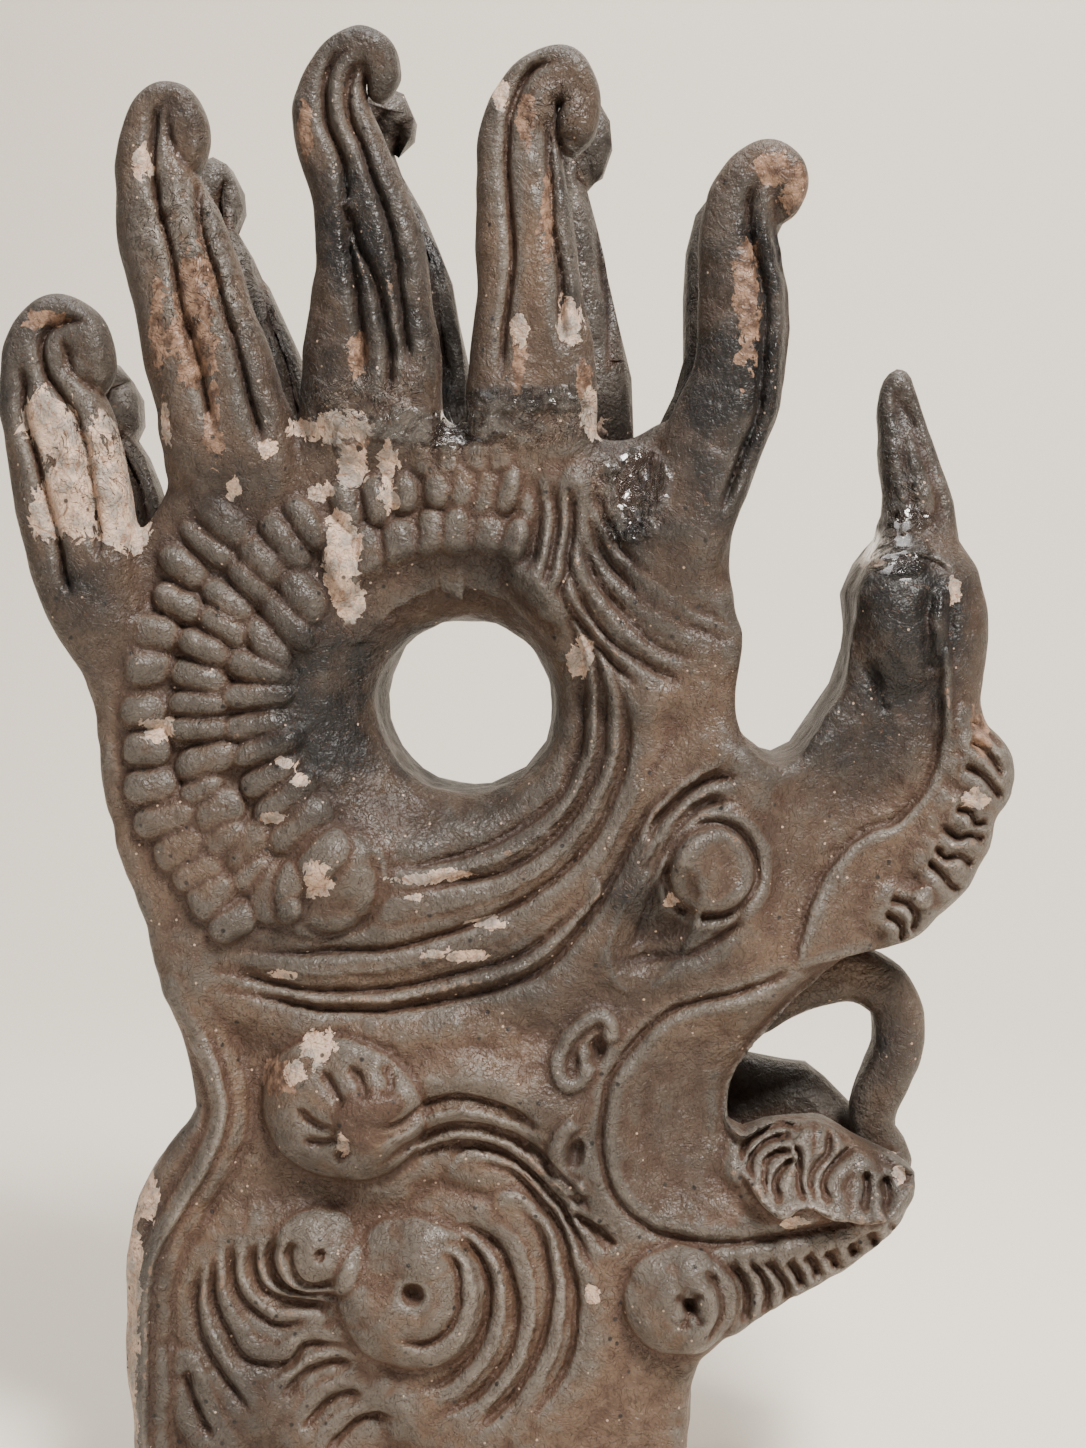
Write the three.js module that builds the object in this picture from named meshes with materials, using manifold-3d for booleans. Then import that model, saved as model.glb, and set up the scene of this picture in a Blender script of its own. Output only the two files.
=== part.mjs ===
// Ridge beast ornament: a hand-built, fired clay finial that stands on the end of a tiled ridge.
//
// Millimetres. +X runs along the ridge towards the snout, +Y across it, +Z up.
// The origin is the middle of the flat underside. The beast is one piece of fired clay, so it is
// one solid: a wall-like body, a thinner snout with a horn, a tongue, two rows of flames and
// carving that is the same on both faces.

import * as THREE from 'three';
import { mergeVertices } from 'three/addons/utils/BufferGeometryUtils.js';
import { LoftGeometry } from 'three/addons/geometries/LoftGeometry.js';
import Module from 'manifold-3d';

const wasm = await Module();
wasm.setup();

// ---- driving dimensions -------------------------------------------------------------------

const BODY_HALF = 55; // half the thickness of the body between its two flat faces
const SNOUT_HALF = 40;
const EDGE_ROUND = 7; // rounding where the faces meet the outline
const BASE_LEFT = -131;
const BASE_RIGHT = 125;
const BASE_TOP = 40; // the straight foot ends here

const HOLE_X = 23;
const HOLE_Z = 381;
const HOLE_RADIUS = 41;
const DISH_RADIUS = 68; // the face is hollowed like a dish around the hole
const DISH_DEPTH = 17;

const FLAME_ROW = 49; // distance of each row of flames from the middle plane
const FLAME_DEPTH = 21; // half the depth of a flame at its root
const FLAME_SIDES = 8;
const FLAME_STEPS = 11;
const RIDGE_SIDES = 4;

const MOUTH_POCKET_HALF = 25; // half the space between the two lips

// ---- geometry to solids -------------------------------------------------------------------

// Closed geometry with shared vertices merged, as a solid that can be joined and cut.
function solidOf(geometry) {
  const bare = new THREE.BufferGeometry().copy(geometry);
  bare.deleteAttribute('normal');
  bare.deleteAttribute('uv');
  const merged = mergeVertices(bare, 1e-4);
  const source = merged.getIndex().array;
  const triangles = [];
  for (let i = 0; i < source.length; i += 3) {
    const [a, b, c] = [source[i], source[i + 1], source[i + 2]];
    if (a !== b && b !== c && c !== a) {
      triangles.push(a, b, c);
    }
  }
  return new wasm.Manifold(new wasm.Mesh({
    numProp: 3,
    vertProperties: new Float32Array(merged.getAttribute('position').array),
    triVerts: new Uint32Array(triangles),
  }));
}

// The same geometry on the other side of the middle plane.
function mirrored(geometry) {
  const copy = new THREE.BufferGeometry().copy(geometry);
  if (copy.getIndex() === null) {
    copy.setIndex([...Array(copy.getAttribute('position').count).keys()]);
  }
  copy.scale(1, -1, 1);
  const index = copy.getIndex();
  for (let i = 0; i < index.count; i += 3) {
    const second = index.getX(i + 1);
    index.setX(i + 1, index.getX(i + 2));
    index.setX(i + 2, second);
  }
  return copy;
}

function onBothFaces(geometry) {
  return [solidOf(geometry), solidOf(mirrored(geometry))];
}

function joined(solids) {
  return solids.reduce((sum, solid) => sum.add(solid));
}

function vectors(pairs) {
  return pairs.map(([x, z]) => new THREE.Vector2(x, z));
}

// ---- flat outlines ------------------------------------------------------------------------

// A plate with the given outline in X and Z, centred on the middle plane. Its edges are rounded
// over `inset` in the outline's plane and over `drop` in the thickness.
function plate(shape, half, inset, drop) {
  const geometry = new THREE.ExtrudeGeometry(shape, {
    depth: 2 * (half - drop),
    bevelEnabled: drop > 0,
    bevelThickness: drop,
    bevelSize: inset,
    bevelOffset: -inset,
    bevelSegments: 1,
    curveSegments: 2,
  });
  geometry.translate(0, 0, drop - half);
  geometry.rotateX(Math.PI / 2);
  return geometry;
}

function bodyOutline() {
  const shape = new THREE.Shape();
  shape.moveTo(BASE_LEFT, 0);
  shape.lineTo(BASE_LEFT, BASE_TOP);
  // broken back edge, up to the notch under the mane
  shape.splineThru(vectors([[-134, 88], [-133, 125], [-125, 160], [-101, 194]]));
  // mane, crown and neck
  shape.splineThru(vectors([
    [-103, 216], [-113, 249], [-134, 314], [-145, 379], [-137, 436], [-117, 469], [-88, 496],
    [-49, 514], [-4, 522], [41, 521], [81, 516], [112, 503], [135, 478], [144, 440], [146, 380],
  ]));
  // notch behind the snout, then down inside the snout to the corner of the upper lip
  shape.splineThru(vectors([[153, 364], [167, 358], [180, 364], [206, 340], [217, 305], [209, 269]]));
  // upper lip, throat and lower lip
  shape.splineThru(vectors([
    [193, 260], [177, 246], [161, 235], [149, 224], [141, 207], [139, 192], [146, 184], [162, 190],
    [178, 193], [192, 190], [207, 181], [229, 166],
  ]));
  // chin, throat and foot
  shape.splineThru(vectors([[230, 154], [222, 142], [207, 131], [167, 105], [146, 91], [133, 76]]));
  shape.splineThru(vectors([[127, 60], [BASE_RIGHT, BASE_TOP]]));
  shape.lineTo(BASE_RIGHT, 0);
  shape.closePath();
  return shape;
}

function snoutOutline() {
  const shape = new THREE.Shape();
  shape.moveTo(150, 280);
  shape.lineTo(160, 345);
  shape.splineThru(vectors([
    [178, 363], [192, 380], [201, 400], [203, 430], [208, 448], [214, 462],
  ]));
  shape.lineTo(247, 462);
  shape.splineThru(vectors([
    [259, 438], [264, 413], [261, 390], [265, 376], [277, 358], [275, 340], [267, 319], [258, 300],
    [241, 283], [226, 275], [209, 269], [190, 267],
  ]));
  shape.closePath();
  return shape;
}

// The space between the near lip and the far lip, open towards the front.
function mouthPocketOutline() {
  const shape = new THREE.Shape();
  shape.moveTo(262, 262);
  shape.splineThru(vectors([
    [206, 272], [176, 262], [150, 246], [130, 226], [123, 203], [128, 184], [142, 172], [170, 176],
    [198, 172], [222, 170],
  ]));
  shape.lineTo(262, 190);
  shape.closePath();
  return shape;
}

// ---- swept forms --------------------------------------------------------------------------

// A ring of points around a centreline that lies in a plane y = const: `wide` is the half
// width in that plane and `deep` the half width along Y.
function ringAt(centre, tangent, wide, deep, sides, flute) {
  const across = new THREE.Vector2(tangent.y, -tangent.x);
  const ring = [];
  for (let i = 0; i < sides; i++) {
    const angle = (2 * Math.PI * i) / sides - Math.PI / 2;
    const swell = 1 + flute * (i % 2 === 0 ? 1 : -1);
    const offset = wide * swell * Math.cos(angle);
    ring.push(new THREE.Vector3(
      centre.x + across.x * offset,
      centre.y + deep * swell * Math.sin(angle),
      centre.z + across.y * offset,
    ));
  }
  return ring;
}

// A tapering body along a smooth line through [x, z, half width] stations at height y.
function sweep(stations, options) {
  const { y, depth, sides, steps, flute = 0 } = options;
  const line = new THREE.SplineCurve(vectors(stations));
  const widths = new THREE.SplineCurve(stations.map(([, , wide], i) => new THREE.Vector2(i, wide)));
  const rings = [];
  for (let i = 0; i <= steps; i++) {
    const t = i / steps;
    const point = line.getPoint(t);
    const wide = Math.max(widths.getPoint(t).y, 1.2);
    const centre = new THREE.Vector3(point.x, y, point.y);
    rings.push(ringAt(centre, line.getTangent(t), wide, depth(t, wide), sides, flute));
  }
  return new LoftGeometry(rings, { capStart: true, capEnd: true });
}

// A rounded ridge that lies on a face of the body and thins out to both ends.
function ridge(points, halfWidth, rise, steps) {
  const last = points.length - 1;
  const stations = points.map(([x, z], i) => {
    const fullness = Math.sqrt(Math.sin(Math.PI * (0.08 + (0.84 * i) / last)));
    return [x, z, halfWidth * fullness];
  });
  const depth = (t, wide) => (rise * wide) / halfWidth;
  return sweep(stations, { y: -BODY_HALF, depth, sides: RIDGE_SIDES, steps });
}

// Points of a spiral that starts at `outer` and winds in to `inner`.
function spiralPoints(x, z, outer, inner, startDegrees, turns) {
  const count = Math.ceil(turns * 8);
  const points = [];
  for (let i = 0; i <= count; i++) {
    const t = i / count;
    const angle = THREE.MathUtils.degToRad(startDegrees) - turns * 2 * Math.PI * t;
    const radius = outer + (inner - outer) * t;
    points.push([x + radius * Math.cos(angle), z + radius * Math.sin(angle)]);
  }
  return points;
}

// A low round boss on a face of the body.
function boss(x, z, radius, rise) {
  const geometry = new THREE.SphereGeometry(radius, 12, 6);
  geometry.rotateX(Math.PI / 2);
  geometry.scale(1, rise / radius, 1);
  geometry.translate(x, -BODY_HALF, z);
  return geometry;
}

// ---- parts of the beast -------------------------------------------------------------------

// Flames of the near row, root to tip as [x, z, half width]. The matching flame of the far row
// stands `root` further along the ridge at its root, `tip` at its tip, and `up` higher.
const FLAMES = [
  {
    far: { root: 6, tip: -8, up: -20 },
    stations: [
      [-122, 380, 14], [-137, 412, 19], [-148, 445, 24], [-154, 480, 26], [-159, 508, 24],
      [-166, 526, 19], [-168, 545, 15], [-159, 556, 12], [-148, 551, 10], [-143, 537, 8],
      [-144, 526, 4],
    ],
  },
  {
    far: { root: 13, tip: -1, up: -18 },
    stations: [
      [-78, 462, 27], [-83, 502, 30], [-93, 545, 27], [-100, 570, 26], [-107, 592, 24],
      [-112, 612, 19], [-118, 634, 13], [-114, 651, 10], [-104, 653, 9], [-98, 641, 8],
      [-98, 629, 4],
    ],
  },
  {
    far: { root: 11, tip: -3, up: -8 },
    stations: [
      [-16, 486, 30], [-17, 530, 32], [-17, 560, 28], [-17, 587, 24], [-23, 611, 21],
      [-31, 632, 19], [-35, 653, 16], [-29, 672, 12], [-18, 676, 10], [-11, 666, 8],
      [-12, 656, 4],
    ],
  },
  {
    far: { root: 20, tip: 2, up: -2 },
    stations: [
      [55, 482, 27], [55, 530, 29], [54, 565, 24], [52, 592, 23], [50, 617, 20],
      [49, 638, 18], [55, 658, 14], [69, 667, 11], [77, 655, 9], [76, 643, 8],
      [72, 634, 4],
    ],
  },
  {
    far: { root: -4, tip: -4, up: 0 },
    stations: [
      [114, 410, 18], [122, 455, 21], [136, 500, 22], [148, 530, 21], [150, 562, 20],
      [147, 590, 18], [149, 610, 15], [157, 624, 12], [168, 620, 9], [169, 609, 6],
      [165, 602, 3],
    ],
  },
];

function flame(stations, { root, tip, up }, y) {
  const last = stations.length - 1;
  const moved = stations.map(([x, z, wide], i) => {
    return [x + root + ((tip - root) * i) / last, z + up, wide];
  });
  // it rises out of the face of the body, is deepest a little above that, and thins to its tip
  const depth = (t, wide) => Math.min(6 + 75 * t, FLAME_DEPTH * (1.1 - 0.5 * t), wide * 1.5);
  return solidOf(sweep(moved, { y, depth, sides: FLAME_SIDES, steps: FLAME_STEPS, flute: 0.05 }));
}

function flames() {
  return FLAMES.flatMap(({ stations, far }) => [
    flame(stations, { root: 0, tip: 0, up: 0 }, -FLAME_ROW),
    flame(stations, far, FLAME_ROW),
  ]);
}

function horn() {
  const stations = [
    [231, 430, 24], [231, 462, 17], [231, 482, 14], [228, 500, 12], [224, 518, 9], [221, 530, 6],
    [219, 536, 3],
  ];
  const depth = (t, wide) => Math.min(20, wide * 1.1);
  return solidOf(sweep(stations, { y: 0, depth, sides: 8, steps: 8, flute: 0.03 }));
}

// The tongue rolls out of the palate, round the front of the mouth and down to the jaw.
function tongue() {
  const stations = [
    [160, 262, 12], [180, 254, 12], [198, 250, 12], [215, 245, 13], [226, 230, 12], [224, 207, 11],
    [217, 190, 11], [218, 176, 11], [223, 164, 9], [222, 152, 7],
  ];
  const depth = (t, wide) => wide * 1.2;
  return solidOf(sweep(stations, { y: 0, depth, sides: 8, steps: 14 }));
}

// A round hole right through, with a shallow dish around it on both faces.
function holeAndDish() {
  const clear = BODY_HALF + 30;
  const profile = vectors([
    [0, -clear], [DISH_RADIUS, -clear], [DISH_RADIUS, -BODY_HALF],
    [(DISH_RADIUS + HOLE_RADIUS) / 2, DISH_DEPTH * 0.7 - BODY_HALF],
    [HOLE_RADIUS + 3, DISH_DEPTH - BODY_HALF], [HOLE_RADIUS, 1.6 * DISH_DEPTH - BODY_HALF],
  ]);
  const other = profile.map((point) => new THREE.Vector2(point.x, -point.y)).reverse();
  const geometry = new THREE.LatheGeometry([...profile, ...other], 32);
  geometry.translate(HOLE_X, 0, HOLE_Z);
  return solidOf(geometry);
}

// Long folds of skin that sweep round the hole from the crown to the shoulder.
function folds() {
  const lines = [
    [[67, 432], [78, 396], [78, 369], [67, 341], [40, 321], [8, 311], [-19, 310]],
    [[85, 424], [96, 391], [98, 365], [85, 329], [54, 301], [8, 285], [-40, 278], [-88, 282]],
    [[120, 378], [100, 350], [82, 318], [60, 292], [22, 270], [-30, 258], [-95, 262]],
    [[85, 478], [103, 446], [126, 428], [147, 419]],
    [[56, 492], [58, 470], [55, 446]],
    [[67, 488], [66, 462], [60, 436]],
    [[150, 352], [122, 344], [104, 322], [90, 296]],
  ];
  return lines.flatMap((line) => onBothFaces(ridge(line, 6, 7, 2 * line.length - 3)));
}

// Three low bands of mane that curve round the hole, from the crown to the shoulder.
function maneBands() {
  const spacing = 24;
  const innermost = 88;
  const lowest = [232, 228, 218];
  return lowest.flatMap((last, band) => {
    const radius = innermost + band * spacing;
    const points = [];
    for (let step = 0; step <= 8; step++) {
      const angle = THREE.MathUtils.degToRad(80 + ((last - 80) * step) / 8);
      points.push([HOLE_X + radius * Math.cos(angle), HOLE_Z + radius * Math.sin(angle)]);
    }
    return onBothFaces(ridge(points, 10, 5, 8));
  });
}

function cheek() {
  // the lip ends in a groove, and this ridge runs behind it from the snout round to the jaw
  const behindTheLip = [
    [172, 268], [140, 252], [108, 236], [86, 210], [86, 172], [104, 148], [136, 138], [176, 141],
    [206, 148],
  ];
  const beard = [[[146, 104], [154, 116], [176, 126]], [[162, 110], [174, 118], [198, 130]]];
  return [
    ...onBothFaces(ridge(behindTheLip, 7, 7, 14)),
    ...beard.flatMap((line) => onBothFaces(ridge(line, 5, 5, 5))),
    ...onBothFaces(boss(127, 116, 24, 12)),
  ];
}

// The lip of the far side hangs lower into the mouth than the near one.
function farLip() {
  const shape = new THREE.Shape();
  shape.moveTo(130, 250);
  shape.splineThru(vectors([[136, 200], [150, 198], [164, 215], [181, 228], [208, 240], [214, 262]]));
  shape.closePath();
  const geometry = plate(shape, 13, 4, 4);
  geometry.translate(0, BODY_HALF - 17, 0);
  return solidOf(geometry);
}

function eye() {
  const lid = [[120, 302], [121, 322], [134, 331], [150, 326], [156, 306]];
  return [...onBothFaces(boss(138, 306, 17, 9)), ...onBothFaces(ridge(lid, 6, 9, 9))];
}

function earAndScrolls() {
  const ear = spiralPoints(-38, 199, 34, 16, 60, 0.9);
  const large = spiralPoints(1, 112, 62, 14, 60, 2.2);
  const small = spiralPoints(-43, 133, 30, 9, 200, 1.2);
  const strand = [[-24, 192], [0, 200], [26, 206], [48, 190]];
  const lowStrand = [[-14, 176], [16, 190], [44, 172], [58, 142]];
  return [
    ...onBothFaces(boss(-38, 199, 29, 15)),
    ...onBothFaces(boss(1, 112, 26, 10)),
    ...onBothFaces(boss(-43, 133, 15, 8)),
    ...onBothFaces(ridge(ear, 5, 6, 8)),
    ...onBothFaces(ridge(large, 6, 8, 22)),
    ...onBothFaces(ridge(small, 5, 7, 10)),
    ...onBothFaces(ridge(strand, 6, 9, 7)),
    ...onBothFaces(ridge(lowStrand, 6, 8, 8)),
  ];
}

// The ridge along the back of the shoulder and foot.
function backRidge() {
  const line = [[-102, 242], [-91, 222], [-85, 195], [-97, 165], [-114, 130], [-119, 90], [-120, 40]];
  return onBothFaces(ridge(line, 7, 8, 10));
}

// Wrinkles on the nose, on the thinner snout.
function snoutFolds() {
  const along = [[240, 430], [245, 400], [243, 372], [236, 348], [218, 330], [200, 318]];
  const geometry = ridge(along, 6, 8, 8);
  geometry.translate(0, BODY_HALF - SNOUT_HALF, 0);
  return onBothFaces(geometry);
}

function buildBeast() {
  const body = solidOf(plate(bodyOutline(), BODY_HALF, EDGE_ROUND, EDGE_ROUND));
  const snout = solidOf(plate(snoutOutline(), SNOUT_HALF, EDGE_ROUND, 2 * EDGE_ROUND));
  const pocket = solidOf(plate(mouthPocketOutline(), MOUTH_POCKET_HALF, 0, 0));
  const shaped = joined([body, snout]).subtract(pocket);
  return joined([
    shaped,
    ...flames(),
    horn(),
    tongue(),
    ...folds(),
    ...maneBands(),
    ...cheek(),
    farLip(),
    ...eye(),
    ...earAndScrolls(),
    ...backRidge(),
    ...snoutFolds(),
  ]).subtract(holeAndDish());
}

// ---- the part -----------------------------------------------------------------------------

function meshOf(solid, name, material) {
  const { vertProperties, triVerts } = solid.getMesh();
  const geometry = new THREE.BufferGeometry();
  geometry.setAttribute('position', new THREE.BufferAttribute(vertProperties, 3));
  geometry.setIndex(new THREE.BufferAttribute(triVerts, 1));
  geometry.computeVertexNormals();
  const mesh = new THREE.Mesh(geometry, material);
  mesh.name = name;
  return mesh;
}

const clay = new THREE.MeshStandardMaterial({ color: 0x5c534b, roughness: 0.72, metalness: 0 });

const beast = new THREE.Group();
beast.add(meshOf(buildBeast(), 'ridge_beast', clay));

export default beast;
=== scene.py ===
"""Ridge beast ornament of fired clay.

The beast is sculpted as a distance field in millimetres: a thick sheet with a carved relief on
each face, two rows of flames, a horned snout and a curled tongue. The field becomes one mesh,
which stands for the plain solid of the same beast.
"""

import math

import bpy
import numpy as np
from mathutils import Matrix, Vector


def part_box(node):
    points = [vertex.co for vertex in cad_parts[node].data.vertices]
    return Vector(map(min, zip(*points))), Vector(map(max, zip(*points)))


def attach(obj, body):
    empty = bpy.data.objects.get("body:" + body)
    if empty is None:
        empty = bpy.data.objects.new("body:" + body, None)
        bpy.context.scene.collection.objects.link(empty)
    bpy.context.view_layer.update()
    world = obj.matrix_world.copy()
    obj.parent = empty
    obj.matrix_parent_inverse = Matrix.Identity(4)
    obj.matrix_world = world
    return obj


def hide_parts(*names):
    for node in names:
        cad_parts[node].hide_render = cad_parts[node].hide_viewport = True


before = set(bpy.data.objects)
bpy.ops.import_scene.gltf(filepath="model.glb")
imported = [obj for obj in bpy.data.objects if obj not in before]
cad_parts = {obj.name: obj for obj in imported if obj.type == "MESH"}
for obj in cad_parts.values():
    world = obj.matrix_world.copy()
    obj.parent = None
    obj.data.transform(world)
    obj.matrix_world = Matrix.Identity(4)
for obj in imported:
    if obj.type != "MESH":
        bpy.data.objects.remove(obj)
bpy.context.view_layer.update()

import openvdb
from bpy.props import FloatProperty, FloatVectorProperty, IntProperty, PointerProperty

NODE = "ridge_beast"

bl_info = {
    "name": "Ridge beast ornament",
    "version": (1, 0, 0),
    "blender": (4, 5, 0),
    "location": "View3D > Sidebar > Ridge beast",
    "description": "Sculpts a fired clay ridge beast and sets a plain studio around it",
    "category": "Add Mesh",
}

MM = 0.001

# ---- outlines, as (x, z) in millimetres -----------------------------------------------------

# Each stretch is smooth, and the corners are where two stretches meet.
BEAST_OUTLINE = (
    ((-131, 0), (-131, 38)),
    ((-131, 38), (-134, 88), (-134, 125), (-126, 157), (-115, 176), (-101, 195)),
    (
        (-101, 195), (-103, 216), (-113, 249), (-123, 281), (-134, 314), (-142, 347),
        (-145, 379), (-143, 408), (-135, 438), (-117, 469), (-88, 494), (-49, 506), (-4, 510),
        (41, 508), (70, 502), (86, 503), (100, 504), (116, 508), (134, 486), (144, 448),
        (149, 413), (149, 376), (156, 363), (167, 358), (179, 364), (190, 380), (198, 396),
        (201, 417), (202, 435), (208, 449), (215, 461),
    ),
    (
        (215, 461), (217, 482), (215, 505), (216, 523), (218, 532), (223, 536), (229, 532),
        (235, 518), (242, 498), (248, 477), (252, 458),
    ),
    (
        (252, 458), (259, 446), (264, 430), (265, 411), (262, 388), (264, 376), (271, 367),
        (277, 355), (275, 342),
    ),
    (
        (275, 342), (270, 334), (268, 329), (266, 318), (258, 303), (246, 288), (230, 278),
        (209, 270),
    ),
    (
        (209, 270), (190, 260), (174, 246), (160, 232), (150, 218), (144, 204), (144, 190),
        (152, 184),
    ),
    ((152, 184), (163, 189), (178, 192), (191, 190), (207, 180), (222, 171), (231, 164)),
    (
        (231, 164), (231, 156), (224, 143), (209, 132), (190, 120), (167, 106), (152, 96),
        (140, 88), (132, 78), (128, 60), (126, 38), (125, 0),
    ),
)
MOUTH_POCKET = (
    (262, 262), (206, 270), (180, 262), (158, 250), (139, 230), (131, 205), (134, 186), (146, 172),
    (170, 174), (198, 168), (222, 166), (262, 190),
)
FAR_LIP = (
    (124, 236), (142, 212), (158, 207), (174, 205), (188, 201), (201, 190), (210, 175), (192, 162),
    (150, 164), (120, 190),
)

# ---- sizes ------------------------------------------------------------------------------------

BODY_HALF = 55
HOLE = (23, 381)
HOLE_RADIUS = 41
DISH_WIDTH = 36
DISH_DEPTH = 20
PELLET_RISE = (7.0, 9.4)
POCKET_HALF = 19
POCKET_ROUNDING = 8
# the far lower lip: the middle of its thickness, half of it, and how round it is
FAR_LIP_AT = 37
FAR_LIP_HALF = 16
FAR_LIP_ROUNDING = 13

# Fillets where one form was pressed into another.
POCKET_FILLET = 5
FAR_LIP_FILLET = 6
FLAME_FILLET = 8
TONGUE_FILLET = 5

# Unevenness left by the hand: size of the lumps, height, and seed of the noise.
LINE_WANDER = ((26, 1.1), (9, 0.45))
BODY_LUMPS = ((22, 1.6, 3), (8, 0.6, 4))
FACE_LUMPS = ((14, 1.0, 21), (5, 0.4, 22))
FLAME_LUMPS = ((9, 0.8, 31),)
MEND_LUMPS = (4.5, 1.4)
FACE_MEND_SEED = 23
FLAME_MEND_SEED = 32

# ---- carved lines, as (x, z) in millimetres --------------------------------------------------

HOLE_FOLDS = (
    ((64, 436), (74, 418), (79, 395), (78, 368), (68, 343), (43, 322), (11, 311), (-18, 311)),
    ((74, 427), (86, 400), (88, 371), (79, 341), (54, 314), (18, 301), (-9, 299)),
    (
        (86, 413), (97, 386), (98, 364), (86, 328), (61, 301), (27, 283), (-5, 274), (-50, 270),
        (-91, 274),
    ),
    ((83, 299), (62, 277), (31, 263), (-5, 255), (-51, 254), (-94, 263)),
    ((133, 360), (110, 338), (93, 307), (70, 271), (41, 255), (4, 246), (-41, 245), (-96, 254)),
    ((149, 353), (131, 348), (116, 335), (106, 321)),
    ((146, 342), (132, 337), (121, 327), (113, 314), (108, 301)),
)
FAN_CREASES = (
    ((81, 486), (87, 469), (98, 451), (115, 436), (130, 426), (146, 419)),
    ((79, 474), (86, 454), (99, 436), (117, 423), (135, 415), (146, 413)),
    ((76, 463), (82, 442), (94, 426), (110, 411), (130, 404)),
    ((68, 454), (77, 431), (90, 413), (108, 401), (126, 393)),
    ((63, 440), (77, 420), (90, 404), (104, 391)),
)
CROWN_STRANDS = (
    ((53, 489), (57, 476), (56, 458), (51, 442)),
    ((62, 486), (66, 467), (63, 449), (59, 436)),
    ((71, 485), (73, 463), (69, 442), (65, 431)),
)
EYE_RIM = (
    (126, 289), (118, 298), (116, 312), (122, 324), (133, 331), (145, 329), (154, 319), (157, 305),
    (151, 295), (142, 289), (131, 288),
)
EYE_CORNER = (
    ((122, 320), (113, 307), (106, 291), (100, 272)),
    ((95, 266), (113, 268), (131, 272), (147, 282), (153, 294)),
)
LIP_GROOVE = (
    (174, 263), (163, 257), (147, 252), (131, 249), (115, 242), (102, 229), (91, 213), (87, 194),
    (88, 176), (94, 160), (107, 147), (123, 141), (141, 139), (164, 141), (184, 144), (200, 148),
    (216, 153),
)
LIP_EDGE = (
    (205, 268), (190, 260), (174, 246), (160, 232), (150, 218), (144, 204), (144, 190), (152, 184),
    (163, 189), (178, 192), (191, 190), (207, 180), (222, 171), (231, 164),
)
SNOUT_LINE = (
    (176, 263), (178, 276), (182, 290), (188, 304), (194, 313), (206, 323), (221, 330), (231, 340),
    (238, 353), (241, 365), (242, 379), (241, 393), (240, 404), (244, 415), (247, 431), (246, 445),
)
FRILL = (
    ((152, 170), (154, 179), (161, 186), (171, 190), (177, 188)),
    ((158, 163), (156, 173), (162, 181), (171, 185), (176, 184)),
    ((163, 160), (162, 169), (166, 176), (176, 180)),
    ((168, 157), (167, 165), (171, 172), (177, 178)),
    ((180, 157), (178, 164), (178, 173), (176, 184)),
    ((185, 158), (183, 166), (187, 173), (192, 178), (192, 188)),
    ((192, 156), (189, 163), (192, 170), (198, 175), (206, 178)),
    ((206, 152), (209, 161), (209, 170)),
    ((216, 151), (219, 159), (217, 167)),
)
FRILL_EDGE = (
    (152, 170), (159, 158), (169, 151), (179, 156), (191, 150), (205, 148), (218, 150),
)
BEARD = (
    ((132, 130), (139, 119), (140, 107), (133, 94)),
    ((142, 130), (149, 123), (152, 112), (150, 99)),
    ((153, 131), (159, 124), (162, 114), (159, 103)),
    ((160, 130), (167, 124), (171, 117), (170, 109)),
    ((171, 130), (176, 124), (178, 117)),
    ((179, 132), (184, 127), (185, 121)),
    ((189, 134), (193, 129), (194, 125)),
    ((200, 138), (203, 131)),
    ((209, 143), (212, 135)),
    ((218, 148), (221, 141)),
)
SMALL_SCROLLS = (
    (
        (91, 230), (90, 240), (84, 243), (75, 238), (68, 228), (67, 219), (71, 213), (77, 214),
        (80, 221), (78, 229),
    ),
    ((75, 196), (69, 190), (66, 180), (68, 170), (74, 163), (80, 165)),
)
EAR_DENTS = (
    ((-42, 220), (-36, 214), (-30, 205)),
    ((-29, 223), (-23, 217), (-20, 209)),
    ((-14, 224), (-9, 217), (-9, 209)),
    ((-52, 205), (-45, 197), (-32, 192)),
    ((-50, 187), (-41, 187), (-31, 189)),
    ((-34, 178), (-29, 183), (-28, 189)),
)
SHOULDER_CREASES = (
    ((-21, 195), (-5, 198), (11, 206), (29, 207), (47, 201), (63, 190)),
    ((-16, 176), (0, 187), (18, 194), (38, 193), (56, 183), (75, 163), (86, 147)),
    ((-12, 170), (6, 182), (27, 186), (47, 178), (66, 159), (79, 136), (86, 122)),
    ((27, 177), (45, 173), (61, 156), (72, 136), (77, 108), (72, 80), (54, 54)),
    ((50, 156), (61, 140), (65, 117), (62, 94), (50, 70), (27, 49)),
    ((15, 147), (31, 145), (44, 133), (50, 112), (47, 89), (31, 68), (8, 56)),
    ((14, 142), (27, 137), (36, 124), (37, 107), (30, 89), (17, 75), (1, 70)),
    ((13, 137), (21, 130), (23, 114), (17, 100), (6, 94), (-8, 97)),
    ((72, 152), (86, 145), (95, 136)),
)
SMALL_SPIRAL_CREASES = (
    ((-51, 141), (-55, 134), (-51, 124), (-43, 121), (-33, 125)),
    ((-59, 140), (-65, 131), (-60, 119), (-49, 115), (-31, 116)),
    ((-70, 139), (-73, 127), (-67, 115), (-51, 110), (-35, 109)),
    ((-82, 139), (-83, 123), (-77, 109), (-63, 99), (-47, 103)),
    ((-90, 135), (-92, 115), (-87, 97), (-77, 83), (-58, 82), (-49, 90), (-33, 90), (-28, 86)),
    ((-97, 128), (-100, 106), (-95, 87), (-83, 69), (-72, 57)),
    ((-61, 64), (-51, 76), (-35, 82), (-26, 80)),
    ((-52, 50), (-35, 65), (-22, 69)),
    ((-40, 39), (-24, 55), (-8, 59)),
    ((-104, 78), (-102, 64), (-91, 45)),
)
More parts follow.
